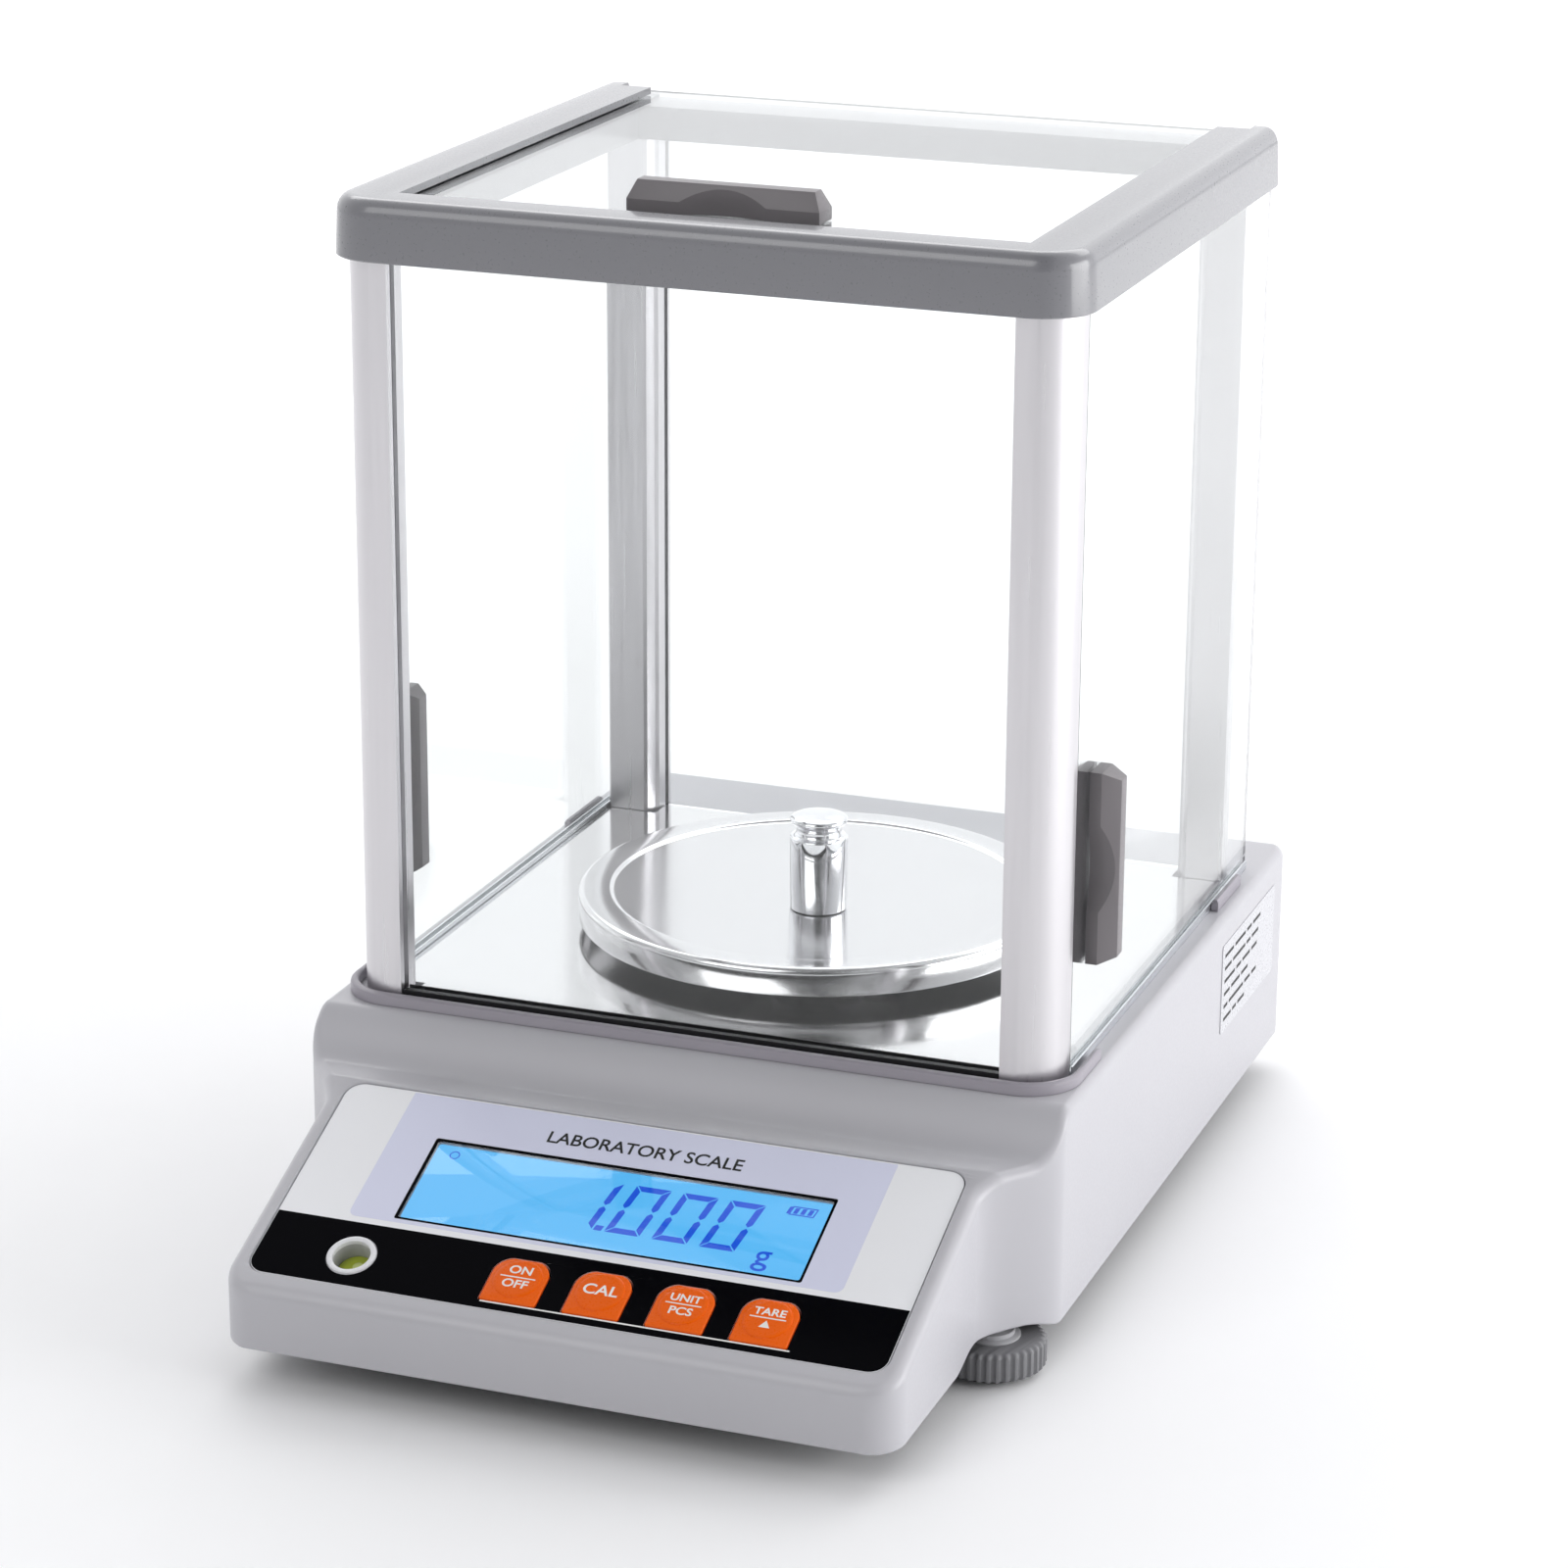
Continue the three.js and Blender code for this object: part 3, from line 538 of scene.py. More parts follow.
def half_width_at(y):
    straight = lerp(CONSOLE_HALF_WIDTH, HALF_WIDTH, ease((y - WAIST[0]) / (WAIST[1] - WAIST[0])))
    front = corner_inset(y + HALF_LENGTH, CORNER_FRONT_R)
    return straight - front - corner_inset(HALF_LENGTH - y, CORNER_BACK_R)


def top_at(y):
    rise = ease((y - SHELF_BACK_Y) / (DECK_FRONT_Y - SHELF_BACK_Y))
    shelf = min(PANEL_Z + (y - PANEL_Y) * math.tan(PANEL_ANGLE), SHELF_Z)
    top = lerp(shelf, DECK_Z, rise)
    front = corner_inset(y + HALF_LENGTH, TOP_FRONT_R)
    return top - front - corner_inset(HALF_LENGTH - y, TOP_BACK_R)


def bottom_at(y):
    arch = ARCH_RISE * ease((1 - abs(y - ARCH_Y) / ARCH_HALF_LENGTH) * 1.6)
    return FOOT_HEIGHT + arch + corner_inset(min(HALF_LENGTH - y, y + HALF_LENGTH), BOTTOM_R)


def spread(a, b, count):
    return [a + (b - a) * i / (count - 1) for i in range(count)]


def housing_ring(y, half, bottom, top, r, steps=8):
    """Cross-section at y: square with its top corners rounded by r and its bottom corners eased."""
    low = BOTTOM_R
    right = [(half - low, bottom)]
    for t in spread(0.4, math.pi / 2, 4):
        right.append((half - low + low * math.sin(t), bottom + low - low * math.cos(t)))
    for t in spread(0, math.pi / 2, steps + 1):
        right.append((half - r + r * math.cos(t), top - r + r * math.sin(t)))
    left = [(-x, z) for x, z in reversed(right)]
    return [(x, y, z) for x, z in right + left]


def outer_skin():
    ends = [CORNER_FRONT_R * (i / 16) ** 2 for i in range(17)]
    stations = [-HALF_LENGTH + d for d in ends] + spread(-140, -109, 10)
    stations += spread(-107, -60, 96) + spread(-56, 140, 30) + [HALF_LENGTH - d for d in reversed(ends)]
    rings = []
    for y in stations:
        edge = lerp(3.2, 2.5, ease((y + 80) / 15))
        rings.append(housing_ring(y, half_width_at(y), bottom_at(y), top_at(y), edge))
    return skin("housing", rings)


def cavity():
    """Hollow of the housing, open through its underside, with a thicker roof below the console."""
    side_wall, console_roof, deck_roof = 3, 4, 3
    inner_end = HALF_LENGTH - 3.5
    rings = []
    for y in [-inner_end, -144, *spread(-110, -60, 26), 0, 144, inner_end]:
        taper = 4 if abs(y) == inner_end else 0
        roof = console_roof if y < SHELF_BACK_Y else deck_roof
        half = min(half_width_at(y), half_width_at(y + 4)) - side_wall - taper
        rings.append(housing_ring(y, half, 2, top_at(y) - roof, 1.0, 2))
    return skin("t_inner", rings)


def panel_cut(name, outline, x, s):
    return prism(name, shifted(outline, x, s), -8, 1, PANEL)


def housing():
    lip = [(-1.4, 0), (-0.45, 0), (-0.2, 0.07), (0, 0.25), (0.15, 0.5), (6, 0.5)]
    pocket = rounded(PANEL_HALF_WIDTH, 0, PANEL_LENGTH, 5, 5, 10)
    x, s, w, h = LCD
    tools = [
        cavity(),
        skin("t_pocket", [[(px, ps, n) for px, ps in inset(pocket, -d)] for n, d in lip], PANEL),
        panel_cut("t_lcd", rounded(w / 2 - 1, -h / 2 + 1, h / 2 - 1, 0.8, 0.8, 3), x, s),
        panel_cut("t_level", ring(6, 48), *LEVEL),
    ]
    for name, key_x in KEYS.items():
        tools.append(panel_cut("t_" + name, key_outline(KEY_SIZE + 0.8), key_x, KEY_S))
    tools.append(prism("t_column", shifted(ring(COLUMN_HOLE_R, 48), 0, PAN_Y), DECK_Z - 8, DECK_Z + 2))
    tools.append(block("t_jack", -71, -59, HALF_LENGTH - 6, HALF_LENGTH + 2, 26, 37))
    return carved(outer_skin(), *tools)


def ring(r, steps):
    angles = [2 * math.pi * i / steps for i in range(steps)]
    return [(r * math.cos(a), r * math.sin(a)) for a in angles]


def key_outline(size):
    """Square key with tight lower corners, round upper corners and an arched upper edge."""
    half = size / 2
    outline = rounded(half, -half, half - 1.2, 0.7, 4.0, 6)
    return [(x, y + 1.2 * (1 - (x / half) ** 2) if y > 0 else y) for x, y in outline]


piece(housing(), HOUSING, "base", "base_housing", slot="housing", angle=28)
carry("bottom_plate", BLACK, 0.4)
for i in range(1, 5):
    carry(f"bottom_screw_{i}", SCREW, 0.4)


# Control panel

def sheet_outline(d=0.0):
    margin = SHEET_GAP + d
    return rounded(PANEL_HALF_WIDTH - margin, margin, PANEL_LENGTH - margin, 5 - margin, 5 - margin, 10)


def lcd_outline(margin):
    x, s, w, h = LCD
    return shifted(rounded(w / 2 + margin, -h / 2 - margin, h / 2 + margin, 0.6, 0.6, 4), x, s)


def key_holes():
    return [shifted(key_outline(KEY_SIZE + 0.6), x, KEY_S) for x in KEYS.values()]


def print_on_sheet(name, outlines, mat, thick=INK):
    piece(flat(name, outlines, SHEET_TOP, SHEET_TOP + thick, PANEL), mat, "base")


def band_outline():
    """Lower part of the sheet, up to the top of the black band."""
    lower = [p for p in sheet_outline(0.15) if p[1] < BAND_TOP]
    edge_x = PANEL_HALF_WIDTH - 0.45
    right = [p for p in lower if p[0] > 0]
    left = [p for p in lower if p[0] <= 0]
    return right + [(edge_x, BAND_TOP), (-edge_x, BAND_TOP)] + left


level_hole = shifted(ring(LEVEL_R + 0.2, 64), *LEVEL)
sheet_holes = [lcd_outline(0), level_hole, *key_holes()]
sheet = flat("overlay_film", [sheet_outline(), *sheet_holes], -1.3, SHEET_TOP, PANEL)
piece(sheet, FILM_WHITE, "base", "display_overlay", slot="overlay")
print_on_sheet("print_black_band", [band_outline(), level_hole, *key_holes()], FILM_BLACK)
print_on_sheet("print_tint", [rounded(65, 23.2, 67.6, 2.2, 0.4, 6), lcd_outline(0)], FILM_LAVENDER)
title = lettering("print_title", "LABORATORY SCALE", 1, 59.2, 5.5, SHEET_TOP + 0.05, PANEL, 0.07)
piece(title, INK_BLACK, "base")
print_on_sheet("print_rule", [[(-21, 2.5), (58.8, 2.5), (58.8, 2.95), (-21, 2.95)]], INK_WHITE, 0.06)


# Display

lcd_edges = [lcd_outline(-0.05), lcd_outline(-0.75)]
surround = flat("display_bezel", lcd_edges, LCD_FACE - 0.3, SHEET_TOP - 0.05, PANEL)
piece(surround, FILM_BLACK, "base")
backlight = prism("display_face", lcd_outline(-0.5), LCD_FACE - 4, LCD_FACE, PANEL)
piece(backlight, LCD_GLOW, "base", "lcd_module", slot="lcd")
window = prism("display_window", lcd_outline(-0.8), -1.15, -0.6, PANEL, 0.1)
piece(window, WINDOW, "base", "lcd_window", slot="glass")

RIGHT_SIDE = ("upper_right", "lower_right")
ALL_ROUND = ("top", "bottom", "upper_left", "lower_left", *RIGHT_SIDE)


def slanted(points, x0, s0):
    return [(x0 + x + SLANT * y, s0 + y) for x, y in points]


def digit_segments(which):
    w, h, t, g = DIGIT_W, DIGIT_H, SEGMENT, SEGMENT_GAP
    mid, low, high = h / 2, h / 2 - g - t / 2, h / 2 + g + t / 2
    shapes = {
        "top": [(g, h), (t + g, h - t), (w - t - g, h - t), (w - g, h)],
        "bottom": [(g, 0), (w - g, 0), (w - t - g, t), (t + g, t)],
        "upper_left": [(0, h - g), (0, high), (t / 2, mid + g), (t, high), (t, h - t - g)],
        "lower_left": [(0, g), (t, t + g), (t, low), (t / 2, mid - g), (0, low)],
        "upper_right": [(w, h - g), (w - t, h - t - g), (w - t, high), (w - t / 2, mid + g), (w, high)],
        "lower_right": [(w, g), (w, low), (w - t / 2, mid - g), (w - t, low), (w - t, t + g)],
    }
    return [shapes[k] for k in which]


def battery_mark():
    """Outline of a small cell with a nub at its left end, and three bars inside it."""
    cell = [(0.3, 0.2), (1.0, 0.2), (1.0, -0.1), (7.6, -0.1), (7.6, 2.9), (1.0, 2.9), (1.0, 2.6), (0.3, 2.6)]
    bar = [(0, 0), (1.1, 0), (1.1, 1.9), (0, 1.9)]
    outlines = [slanted(cell, 42, 47), slanted(inset(cell, 0.35)[2:6], 42, 47)]
    return outlines + [slanted(bar, 44.0 + 1.85 * k, 47.45) for k in range(3)]


def display_marks():
    marks = [slanted(shape, -12.6, DIGIT_S) for shape in digit_segments(RIGHT_SIDE)]
    for k in range(3):
        marks += [slanted(shape, DIGIT_PITCH * k, DIGIT_S) for shape in digit_segments(ALL_ROUND)]
    marks.append(slanted([(0, 0), (2.1, 0), (2.1, 1.7), (0, 1.7)], -2.9, DIGIT_S))
    marks += battery_mark()
    return marks + [shifted(ring(r, 32), -46.8, 49.3) for r in (1.35, 1.05)]


piece(flat("display_segments", display_marks(), LCD_FACE, LCD_FACE + 0.04, PANEL), LCD_INK, "base")
piece(lettering("display_unit", "g", 41.6, 32.4, 9.6, LCD_FACE + 0.03, PANEL, 0.05), LCD_INK, "base")


# Keys: each legend is its words with their height above the key's middle and their size

LEGENDS = {
    "on_off": (("ON", 3.1, 3.6), ("OFF", -1.4, 3.6)),
    "cal": (("CAL", 0.9, 4.6),),
    "unit": (("UNIT", 2.7, 3.2), ("PCS", -1.5, 3.4)),
    "tare": (("TARE", 2.7, 3.2),),
}
DOME_PROFILE = [(0, -0.3), (6.15, -0.3), (6.15, 0.02), (5.9, 0.16), (5.5, 0.24), (5.0, 0.27), (0, 0.27)]
PLUNGER_PROFILE = [(0, -4.2), (2.3, -4.2), (2.5, -4.0), (2.5, -2.3), (0, -2.3)]
RULE_MARK = [(-4.6, 0.65), (4.6, 0.65), (4.6, 1.0), (-4.6, 1.0)]
ARROW_MARK = [(-1.4, -2.3), (1.4, -2.3), (0, 0.0)]

for name, x in KEYS.items():
    body = f"{name}_key"
    place = PANEL @ Matrix.Translation((x, KEY_S, 0))
    cap = prism(f"keycap_{name}", key_outline(KEY_SIZE), -2.4, -0.05, place, 0.35)
    dome = turned(f"keydome_{name}", DOME_PROFILE, 96, 0, 0.6, place)
    plunger = turned(f"keystem_{name}", PLUNGER_PROFILE, 32, 0, 0, place)
    piece(cap, KEY_FILM, body, f"key_{name}", slot="key")
    piece(dome, KEY_FILM, body, slot="key")
    piece(plunger, KEY_FILM, body)
    for k, (words, s, size) in enumerate(LEGENDS[name]):
        text = lettering(f"legend_{name}_{k + 1}", words, 0, s, size, 0.28, place, 0.07, 1.08, 0.04)
        piece(text, INK_WHITE, body)
    if name != "cal":
        piece(flat(f"legend_bar_{name}", [RULE_MARK], 0.26, 0.31, place), INK_WHITE, body)
    if name == "tare":
        piece(flat("legend_arrow", [ARROW_MARK], 0.26, 0.31, place), INK_WHITE, body)


# Level

def level_part(name, profile, steps, dx=0.0, ds=0.0):
    return turned(name, profile, steps, LEVEL[0] + dx, LEVEL[1] + ds, PANEL)


LEVEL_RING = [(4.75, -1.2), (6.2, -1.2), (6.3, -0.4), (6.15, 0.0), (5.8, 0.18), (5.2, 0.1), (4.8, -0.15),
              (4.75, -1.2)]
LEVEL_WELL = [(4.75, -1.25), (5.6, -1.25), (5.6, -6.0), (4.75, -6.0), (4.75, -1.25)]
LEVEL_DOME = [(0, -7.0), (4.7, -7.0), (4.7, -5.4), (4.2, -5.0), (2.5, -4.75), (0, -4.6)]
LEVEL_BUBBLE = [(0, -4.9), (1.3, -4.85), (1.45, -4.7), (1.2, -4.5), (0, -4.4)]
piece(level_part("level_bezel_ring", LEVEL_RING, 96), RING, "base", "level_bezel", slot="bezel")
piece(level_part("level_well", LEVEL_WELL, 64), STEM, "base")
piece(level_part("level_vial_dome", LEVEL_DOME, 64), VIAL, "base", "level_vial", slot="vial")
piece(level_part("level_bubble", LEVEL_BUBBLE, 40, 0.6, 0.5), BUBBLE, "base")


# Inside the housing

carry("display_board", BOARD)
carry("keypad_board", BOARD)
carry("main_board", BOARD)
carry("battery_pack", BATTERY)
carry("load_cell", ALUMINIUM, 0.5)
carry("load_cell_mount", ALUMINIUM, 0.5)
carry("dc_jack", BLACK, 0.3)


# Draft shield

def pillar_outline(side, x_outer, y0, towards):
    """Round-cornered post with a glass groove in its inner face; towards is the way its depth runs."""
    points = [(0, 0), (PILLAR - PILLAR_R, 0)]
    for t in spread(math.radians(6), math.pi / 2, 16):
        x, y = PILLAR_R * math.sin(t), PILLAR_R * math.cos(t)
        points.append((PILLAR - PILLAR_R + x, PILLAR_R - y))
    points += [(PILLAR, PILLAR - 0.6), (PILLAR - 0.6, PILLAR)]
    points += [(3.2, PILLAR), (2.2, PILLAR - 0.5), (1.5, PILLAR - 1.6), (0.9, PILLAR - 3.4)]
    points.append((0, PILLAR - 4.2))
    middle = 4.0 if towards > 0 else 3.5
    groove_half, groove_depth = 1.8, 2.0
    points += [(0, middle + groove_half), (groove_depth, middle + groove_half),
               (groove_depth, middle - groove_half), (0, middle - groove_half)]
    placed = [(side * (x_outer - PILLAR + u), y0 + towards * v) for u, v in points]
    return placed if side * towards > 0 else placed[::-1]


def pillar(name, side, x_outer, y0, towards):
    outline = pillar_outline(side, x_outer, y0, towards)
    return skin(name, [[(x, y, z) for x, y in outline] for z in (DECK_Z + FIT, FRAME_Z - FIT)])


for word, side in (("left", -1), ("right", 1)):
    front = pillar(f"pillar_front_{word}", side, *FRONT_PILLAR, 1)
    piece(front, ALUMINIUM, "base", f"front_pillar_{word}", slot="aluminium", angle=24)
    back = pillar(f"pillar_back_{word}", side, *BACK_PILLAR, -1)
    piece(back, ALUMINIUM, "base", f"back_pillar_{word}", slot="aluminium", angle=24)
    carry(f"door_track_{word}", TRACK, 0.15)
    carry(f"door_guide_{word}", COLLAR, 0.3, 3)
    carry(f"door_glass_{word}", PANE, 0.35)
    carry(f"rear_foot_{word}", RUBBER, 0.3)
    carry(f"foot_pad_{word}", RUBBER, 0.3)

carry("front_glass", PANE, 0.35)
carry("back_glass", PANE, 0.35)
carry("top_glass", PANE, 0.35)
carry("front_gasket", GASKET, 0.2)
carry("floor_plate", STEEL, 0.15)


def collar():
    """Bead swept round the front of the chamber and a short way along each side."""
    centre_x, centre_y, r, end = 98.9, -59.05, 13.4, -28.6
    path = [(centre_x, y) for y in spread(end, centre_y + r, 8)]
    for t in spread(0, math.pi / 2, 20)[1:]:
        path.append((centre_x - r + r * math.cos(t), centre_y + r - r * math.sin(t)))
    path += [(x, centre_y) for x in spread(centre_x - r, 0, 6)[1:]]
    path += [(-x, y) for x, y in reversed(path[:-1])]
    rings = []
    for i, (x, y) in enumerate(path):
        a = Vector(path[max(0, i - 1)])
        b = Vector(path[min(len(path) - 1, i + 1)])
        along = (b - a).normalized()
        out = Vector((along.y, -along.x))
        if out.dot(Vector((x, y)) - Vector((0, 30))) < 0:
            out = -out
        half = lerp(0.88, 1.5, abs(along.x))
        top = 3.0 if 0 < i < len(path) - 1 else 2.6
        section = [(-half, 0), (half, 0), (half, top - 1.1), (half * 0.86, top - 0.45),
                   (half * 0.5, top - 0.1), (0, top), (-half * 0.5, top - 0.08), (-half * 0.86, top - 0.4),
                   (-half, top - 0.9)]
        rings.append([(x + out.x * u, y + out.y * u, DECK_Z + FIT + v) for u, v in section])
    return skin("collar_bead", rings)


piece(collar(), COLLAR, "base", "chamber_collar", slot="collar")


def frame_tools():
    """Cutters for the opening, the slots of the three sliding panes, the rail steps and the fixed panes."""
    far, low, top = FRAME_BACK_Y + 5.5, FRAME_Z - 2, FRAME_Z + 18
    door_slot = (DOOR_X - 0.5, DOOR_X + GLASS + 0.5)
    opening, slot, step = OPENING_HALF_WIDTH, 88.3, (80, 91)
    slot_low, slot_top = TOP_GLASS_Z - 0.3, TOP_GLASS_Z + GLASS + 0.3
    return [
        block("t_middle", -opening, opening, OPENING_FRONT_Y, 110.3, low, top),
        block("t_back", -opening, opening, 109, far, TOP_GLASS_Z - 1, top),
        block("t_slot", -slot, slot, OPENING_FRONT_Y - 1.5, far, slot_low, slot_top),
        block("t_door_r", *door_slot, -43, far, low, FRAME_Z + 6.5),
        block("t_door_l", -door_slot[1], -door_slot[0], -43, far, low, FRAME_Z + 6.5),
        block("t_step_r", *step, 119.5, far, TOP_GLASS_Z, top),
        block("t_step_l", -step[1], -step[0], 119.5, far, TOP_GLASS_Z, top),
        block("t_front", -81, 81, -54.8, -51.2, low, FRAME_Z + 4.3),
        block("t_rear", -79, 79, 118.7, 122.3, low, FRAME_Z + 4.3),
    ]


def top_frame():
    """Frame with rounded upper edges: levels are (height, inset) pairs that end in an elliptical arc."""
    levels = [(0, 0.35), (0.35, 0), (11, 0.5)]
    for t in spread(0, math.pi / 2, 9)[1:]:
        levels.append((11 + 4.5 * math.sin(t), 0.5 + 3.9 * (1 - math.cos(t))))
    rings = []
    for dz, d in levels:
        outline = rounded(FRAME_HALF_WIDTH - d, FRAME_FRONT_Y + d, FRAME_BACK_Y - d / 2, 14 - d, 5.5 - d, 14)
        rings.append([(x, y, FRAME_Z + dz) for x, y in outline])
    return carved(skin("shield_frame", rings), *frame_tools())


crown = piece(top_frame(), FRAME_PAINT, "base", "top_frame", slot="frame", angle=28)
bevelled(crown, 0.35, 2, 60)


# Grips

def grip(name, height):
    """Hipped bar along X on z = 0, scooped out along both sides."""
    half_l, half_w = GRIP_LENGTH / 2, GRIP_WIDTH / 2
    rings = []
    for z, dx, dy in ((0, 0, 0), (height * 0.4, 0, 0), (height, 2, 2.3)):
        x, y = half_l - dx, half_w - dy
        rings.append([(-x, -y, z), (x, -y, z), (x, y, z), (-x, y, z)])
    body = skin(name, rings)
    reach = half_w + SCOOP_R - SCOOP_DEPTH
    scoops = [shifted(ring(SCOOP_R, 240), 0, y) for y in (-reach, reach)]
    carved(body, *[prism("t_scoop", outline, -1, height + 1) for outline in scoops])
    return baked(bevelled(body, 0.45, 3, 20))


def upright_grip(name, side, outward):
    """Grip stood upright against the outside (outward = 1) or the inside of a side pane."""
    body = grip(name, GRIP_HEIGHT if outward > 0 else GRIP_INNER)
    body.data.transform(Matrix.Rotation(outward * math.pi / 2, 4, "Y"))
    face = DOOR_X + GLASS + FIT if outward > 0 else DOOR_X - FIT
    body.data.transform(Matrix.Translation(Vector((face, DOOR_GRIP_Y, DOOR_GRIP_Z)) * MM))
    return body if side > 0 else mirror_x(body)


for word, side in (("left", -1), ("right", 1)):
    outer = upright_grip(f"grip_outer_{word}", side, 1)
    piece(outer, GRIP, f"{word}_door", f"door_grip_{word}", slot="grip")
    inner = upright_grip(f"grip_inner_{word}", side, -1)
    piece(inner, GRIP, f"{word}_door", f"door_grip_inner_{word}", slot="grip")

lid_grip = grip("grip_top", GRIP_HEIGHT)
lid_grip.data.transform(Matrix.Translation(Vector((0, TOP_GRIP_Y, TOP_GLASS_Z + GLASS + FIT)) * MM))
piece(lid_grip, GRIP, "top_door", "top_grip", slot="grip")
lid_grip_inner = grip("grip_top_inner", GRIP_INNER)
lid_grip_inner.data.transform(Matrix.Rotation(math.pi, 4, "X"))
lid_grip_inner.data.transform(Matrix.Translation(Vector((0, TOP_GRIP_Y, TOP_GLASS_Z - FIT)) * MM))
piece(lid_grip_inner, GRIP, "top_door", "top_grip_inner", slot="grip")


# Weighing side

def arc(cx, cz, r, a0, a1, count):
    angles = [math.radians(a) for a in spread(a0, a1, count)]
    return [(cx + r * math.cos(a), cz + r * math.sin(a)) for a in angles]


def raised(points, z):
    return [(r, z + dz) for r, dz in points]


def pan():
    """Dish with a hollow skirt, a rounded rim and a shallow sunk middle."""
    r, rim = PAN_R, 1.7
    skirt = [(0, -1.8), (r - 1.0, -1.8), (r - 0.9, -2.6), (r - 0.9, -7.4), (r - 0.6, -7.6), (r - 0.2, -7.6),
             (r, -7.3)]
    middle = [(56.6, 0), (56.25, -0.06), (55.9, -0.35), (55.5, -0.58), (55.0, -0.6), (0, -0.6)]
    profile = raised(skirt + arc(r - rim, -rim, rim, 0, 90, 9) + middle, PAN_TOP)
    return turned("pan_dish", profile, 192, 0, PAN_Y)


def pan_carrier():
    foot = [(0, 50.9), (8.6, 50.9), (9, 51.3), (9, 55.6), (8.6, 56), (6, 58)]
    plate = [(6, -5.5), (7, -4.6), (21.4, -2.2), (22, -1.8), (22, -0.3), (21.7, 0), (0, 0)]
    return turned("pan_carrier_cone", foot + raised(plate, PAN_TOP - 1.9), 96, 0, PAN_Y)


def weight():
    """Cylinder with a waisted neck and a flat knob nearly as wide as its body."""
    r = WEIGHT_R
    body = [(0, 0), (7.0, 0), (7.45, 0.12), (r, 0.5), (r, 20.0)] + arc(r - 0.5, 20.0, 0.5, 10, 80, 5)
    neck = [(6.85, 20.58), (6.6, 20.75), (6.3, 21.1), (6.1, 21.6), (6.0, 22.2), (6.05, 22.8), (6.3, 23.4),
            (6.75, 23.85)]
    knob = [(7.3, 24.15), (7.62, 24.5), (7.74, 24.95), (7.66, 25.35), (7.35, 25.68), (6.8, 25.9),
            (5.6, 26.1), (3.0, 26.32), (0, 26.4)]
    return turned("weight_body", raised(body + neck + knob, PAN_TOP - 0.5), 96, WEIGHT_X, WEIGHT_Y)


piece(pan(), PAN_STEEL, "pan", "weighing_pan", slot="steel", angle=50)
piece(pan_carrier(), DARK_STEEL, "pan_carrier", "pan_support", slot="steel")
piece(weight(), CHROME, "weight", "calibration_weight", slot="chrome", angle=40)


# Feet

RIBS = 36
RIB_SHAPE = ((0.0, -0.75), (0.18, -0.62), (0.32, -0.1), (0.5, 0.0), (0.68, -0.1), (0.82, -0.62))
WHEEL_LEVELS = ((1.3, 12.6), (1.6, 13.4), (2.1, 13.9), (2.5, 14.0), (7.9, 14.0), (8.3, 13.9), (8.7, 13.4),
                (8.9, 12.8))
STEM_PROFILE = [(0, 8.6), (7.4, 8.6), (7.4, 9.3), (6.9, 9.6), (6, 9.7), (6, 10.6), (5.8, 10.8), (4, 10.8),
                (4, 35.5), (3.5, 36), (0, 36)]


def wheel_outline(r):
    outline = []
    for k in range(RIBS):
        for t, d in RIB_SHAPE:
            angle = 2 * math.pi * (k + t) / RIBS
            outline.append(((r + d) * math.cos(angle), (r + d) * math.sin(angle)))
    return outline


for word, side in (("left", -1), ("right", 1)):
    rings = []
    for z, r in WHEEL_LEVELS:
        rings.append([(side * FOOT_X + x, FOOT_Y + y, z) for x, y in wheel_outline(r)])
    wheel = skin(f"wheel_{word}", rings)
    piece(wheel, FOOT, f"{word}_foot_wheel", f"foot_wheel_{word}", slot="foot_plastic", angle=40)
    piece(turned(f"stem_{word}", STEM_PROFILE, 48, side * FOOT_X, FOOT_Y), STEM, f"{word}_foot_wheel")


# Label on the right wall: a blank sticker with plain bars in place of print

LABEL_TURN = Matrix.Rotation(math.pi / 2, 4, "Z") @ Matrix.Rotation(math.pi / 2, 4, "X")
LABEL_SIDE = Matrix.Translation((HALF_WIDTH + 0.02, LABEL_Y, LABEL_Z)) @ LABEL_TURN
BAR_LENGTHS = ((9, 11, 5, 8), (7, 13, 4, 7), (11, 5, 8, 6), (6, 9, 7), (4, 15, 6, 5), (8, 4, 7))


def label_rows():
    bars = []
    for row, lengths in enumerate(BAR_LENGTHS):
        x, s = -25.5, 9.4 - 3.75 * row
        for length in lengths:
            bars.append([(x, s - 0.5), (x + length, s - 0.5), (x + length, s + 0.5), (x, s + 0.5)])
            x += length + 1.6
    return bars


sticker = flat("label_sheet", [rounded(28, -13, 13, 1.2, 1.2, 5)], 0.0, 0.2, LABEL_SIDE)
piece(sticker, LABEL, "base", "rating_label", slot="label")
piece(flat("label_bars", label_rows(), 0.2, 0.22, LABEL_SIDE), INK_BLACK, "base")


# Studio

floor_outline = rounded(FLOOR_HALF, -FLOOR_HALF, FLOOR_HALF, 400, 400, 4)
ground = skin("studio_ground", [[(x, y, z) for x, y in floor_outline] for z in (-20, -0.05)])
ground.data.materials.append(FLOOR_MAT)


def calculated(tree, operation, *values):
    """Result of a maths node on sockets or numbers."""
    node = tree.nodes.new("ShaderNodeMath")
    node.operation = operation
    for socket, value in zip(node.inputs, values):
        if isinstance(value, float):
            socket.default_value = value
        else:
            tree.links.new(value, socket)
    return node.outputs["Value"]


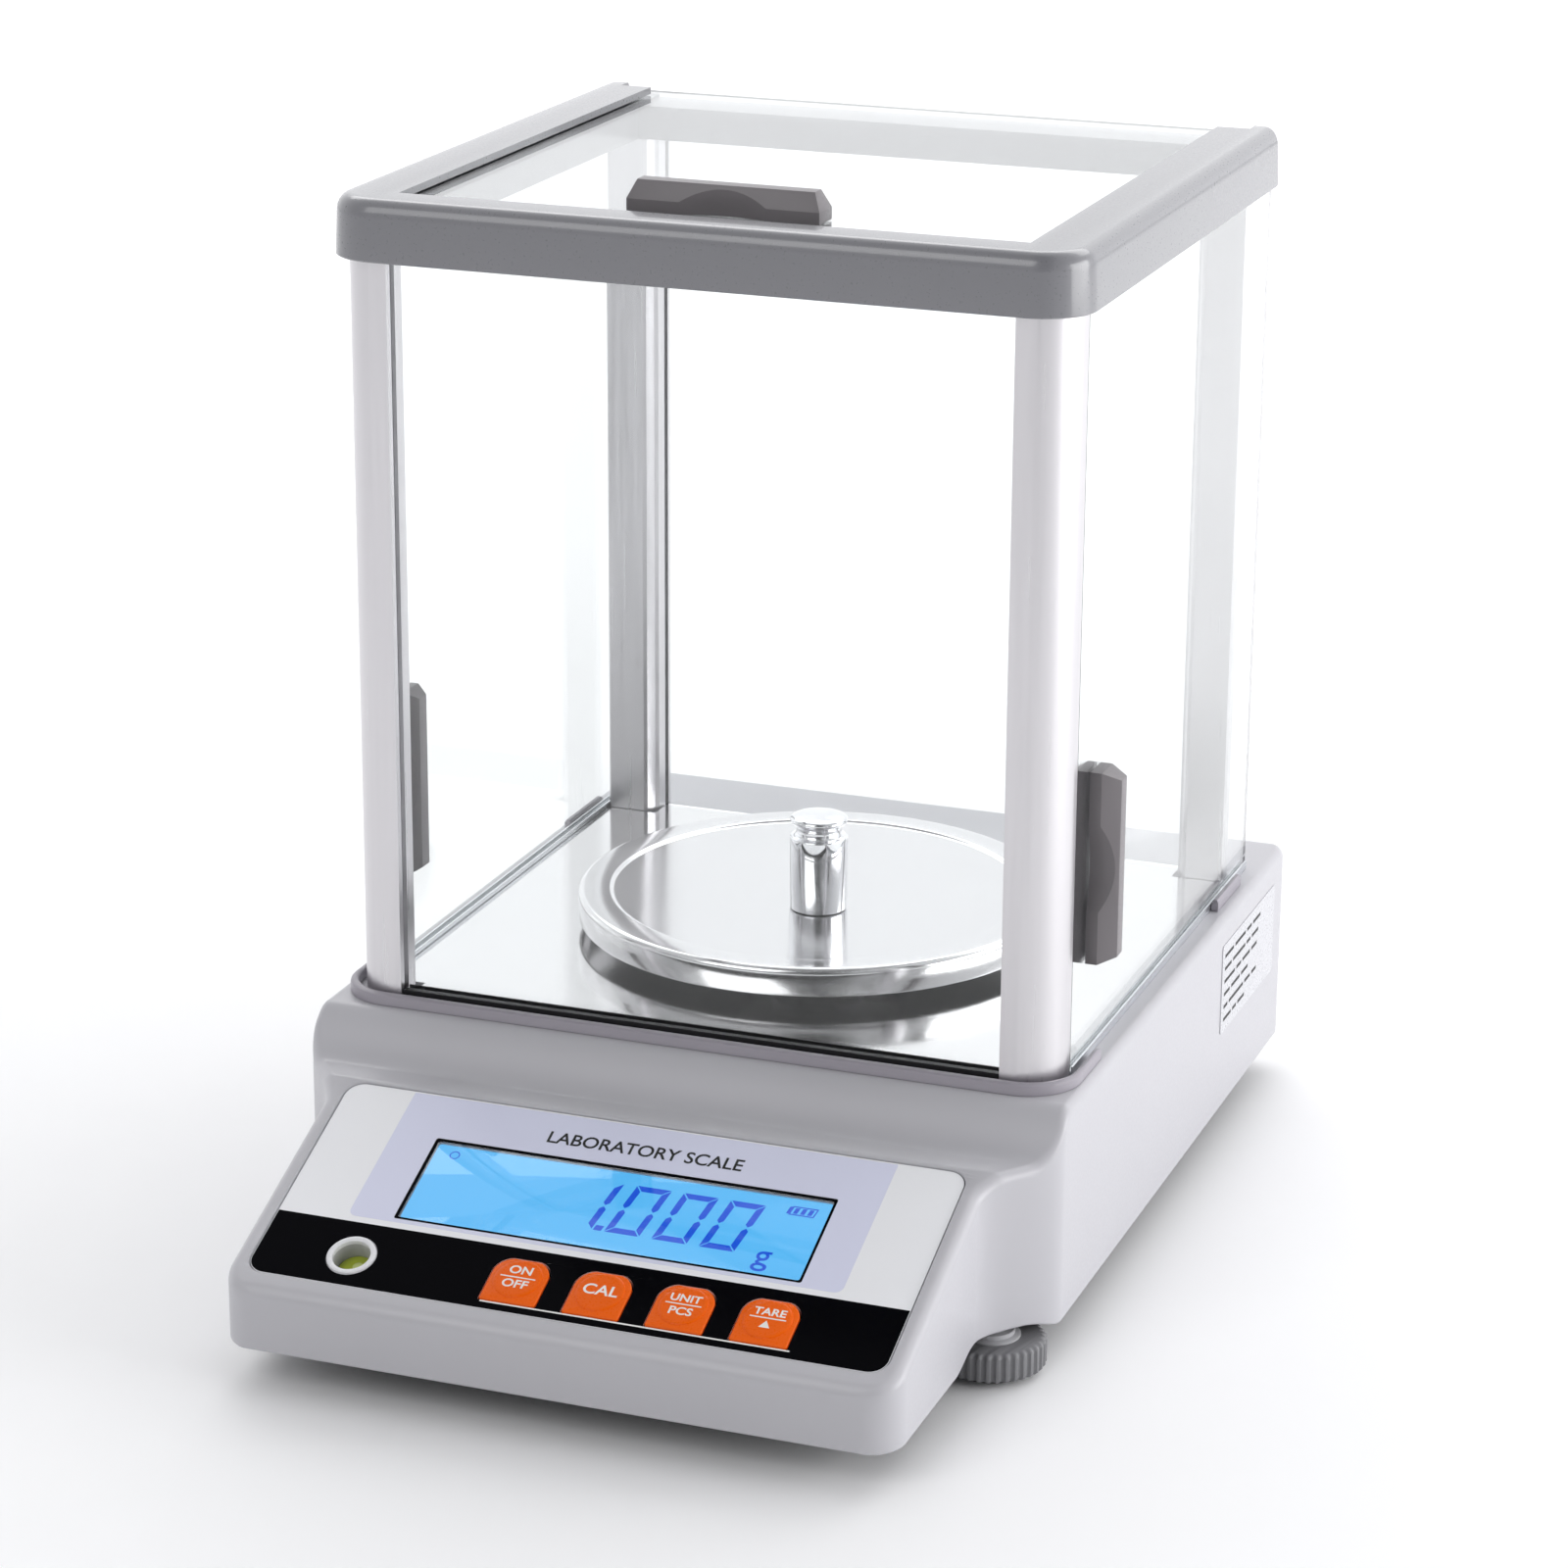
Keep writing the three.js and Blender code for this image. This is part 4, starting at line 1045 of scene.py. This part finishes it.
def studio_world():
    """Bright backdrop behind the object, a dimmer room with a dark gap in front and a soft ceiling."""
    world = bpy.data.worlds.new("studio")
    world.use_nodes = True
    tree = world.node_tree
    coords = tree.nodes.new("ShaderNodeTexCoord")
    split = tree.nodes.new("ShaderNodeSeparateXYZ")
    tree.links.new(coords.outputs["Generated"], split.inputs["Vector"])
    backdrop = ranged(tree, split.outputs["Y"], WORLD_FRONT, WORLD_BACK, -0.7, 0.8, soft=True)
    ceiling = ranged(tree, split.outputs["Z"], 1.0, WORLD_TOP, 0.0, 1.0)
    level = calculated(tree, "MULTIPLY", backdrop, ceiling)
    across = tree.nodes.new("ShaderNodeVectorMath")
    across.operation = "DOT_PRODUCT"
    across.inputs[1].default_value = (math.cos(GAP_AZIMUTH), math.sin(GAP_AZIMUTH), 0)
    tree.links.new(coords.outputs["Generated"], across.inputs[0])
    distance = calculated(tree, "ABSOLUTE", across.outputs["Value"])
    behind = calculated(tree, "GREATER_THAN", split.outputs["Y"], 0.0)
    beside = calculated(tree, "MAXIMUM", distance, behind)
    gap = ranged(tree, beside, GAP_LEVEL, 1.0, 0.1, 0.4, soft=True)
    sky = tree.nodes["Background"]
    sky.inputs["Color"].default_value = (0.975, 0.98, 1.0, 1)
    tree.links.new(calculated(tree, "MULTIPLY", level, gap), sky.inputs["Strength"])
    return world


SCENE.world = studio_world()


def softbox(name, place, target, width, height, power):
    """Rectangular light in metres and watts, aimed at a target."""
    light = bpy.data.lights.new(name, "AREA")
    light.shape = "RECTANGLE"
    light.size = width
    light.size_y = height
    light.energy = power
    obj = bpy.data.objects.new(name, light)
    SCENE.collection.objects.link(obj)
    obj.location = place
    obj.rotation_mode = "QUATERNION"
    obj.rotation_quaternion = (Vector(target) - Vector(place)).to_track_quat("-Z", "Y")
    return obj


softbox("key_right", (1.9, 0.25, 0.5), (0, 0, 0.14), 1.6, 1.0, 21)
softbox("backdrop_wash", (-0.2, 1.7, 1.7), (-0.2, 1.7, 0), 3.4, 1.6, 34)
softbox("front_fill", (-0.6, -1.7, 1.5), (0, -0.1, 0.1), 1.4, 1.2, 11)

camera_data = bpy.data.cameras.new("camera")
camera_data.lens = LENS
camera_data.sensor_width = 36
camera = bpy.data.objects.new("camera", camera_data)
SCENE.collection.objects.link(camera)
flat_reach = math.cos(ELEVATION)
back_way = Vector((math.sin(AZIMUTH) * flat_reach, -math.cos(AZIMUTH) * flat_reach, math.sin(ELEVATION)))
camera.location = TARGET + back_way * DISTANCE
camera.rotation_mode = "QUATERNION"
level_turn = (-back_way).to_track_quat("-Z", "Y")
camera.rotation_quaternion = level_turn @ Matrix.Rotation(ROLL, 4, "Z").to_quaternion()
SCENE.camera = camera
SCENE.view_settings.view_transform = "Standard"
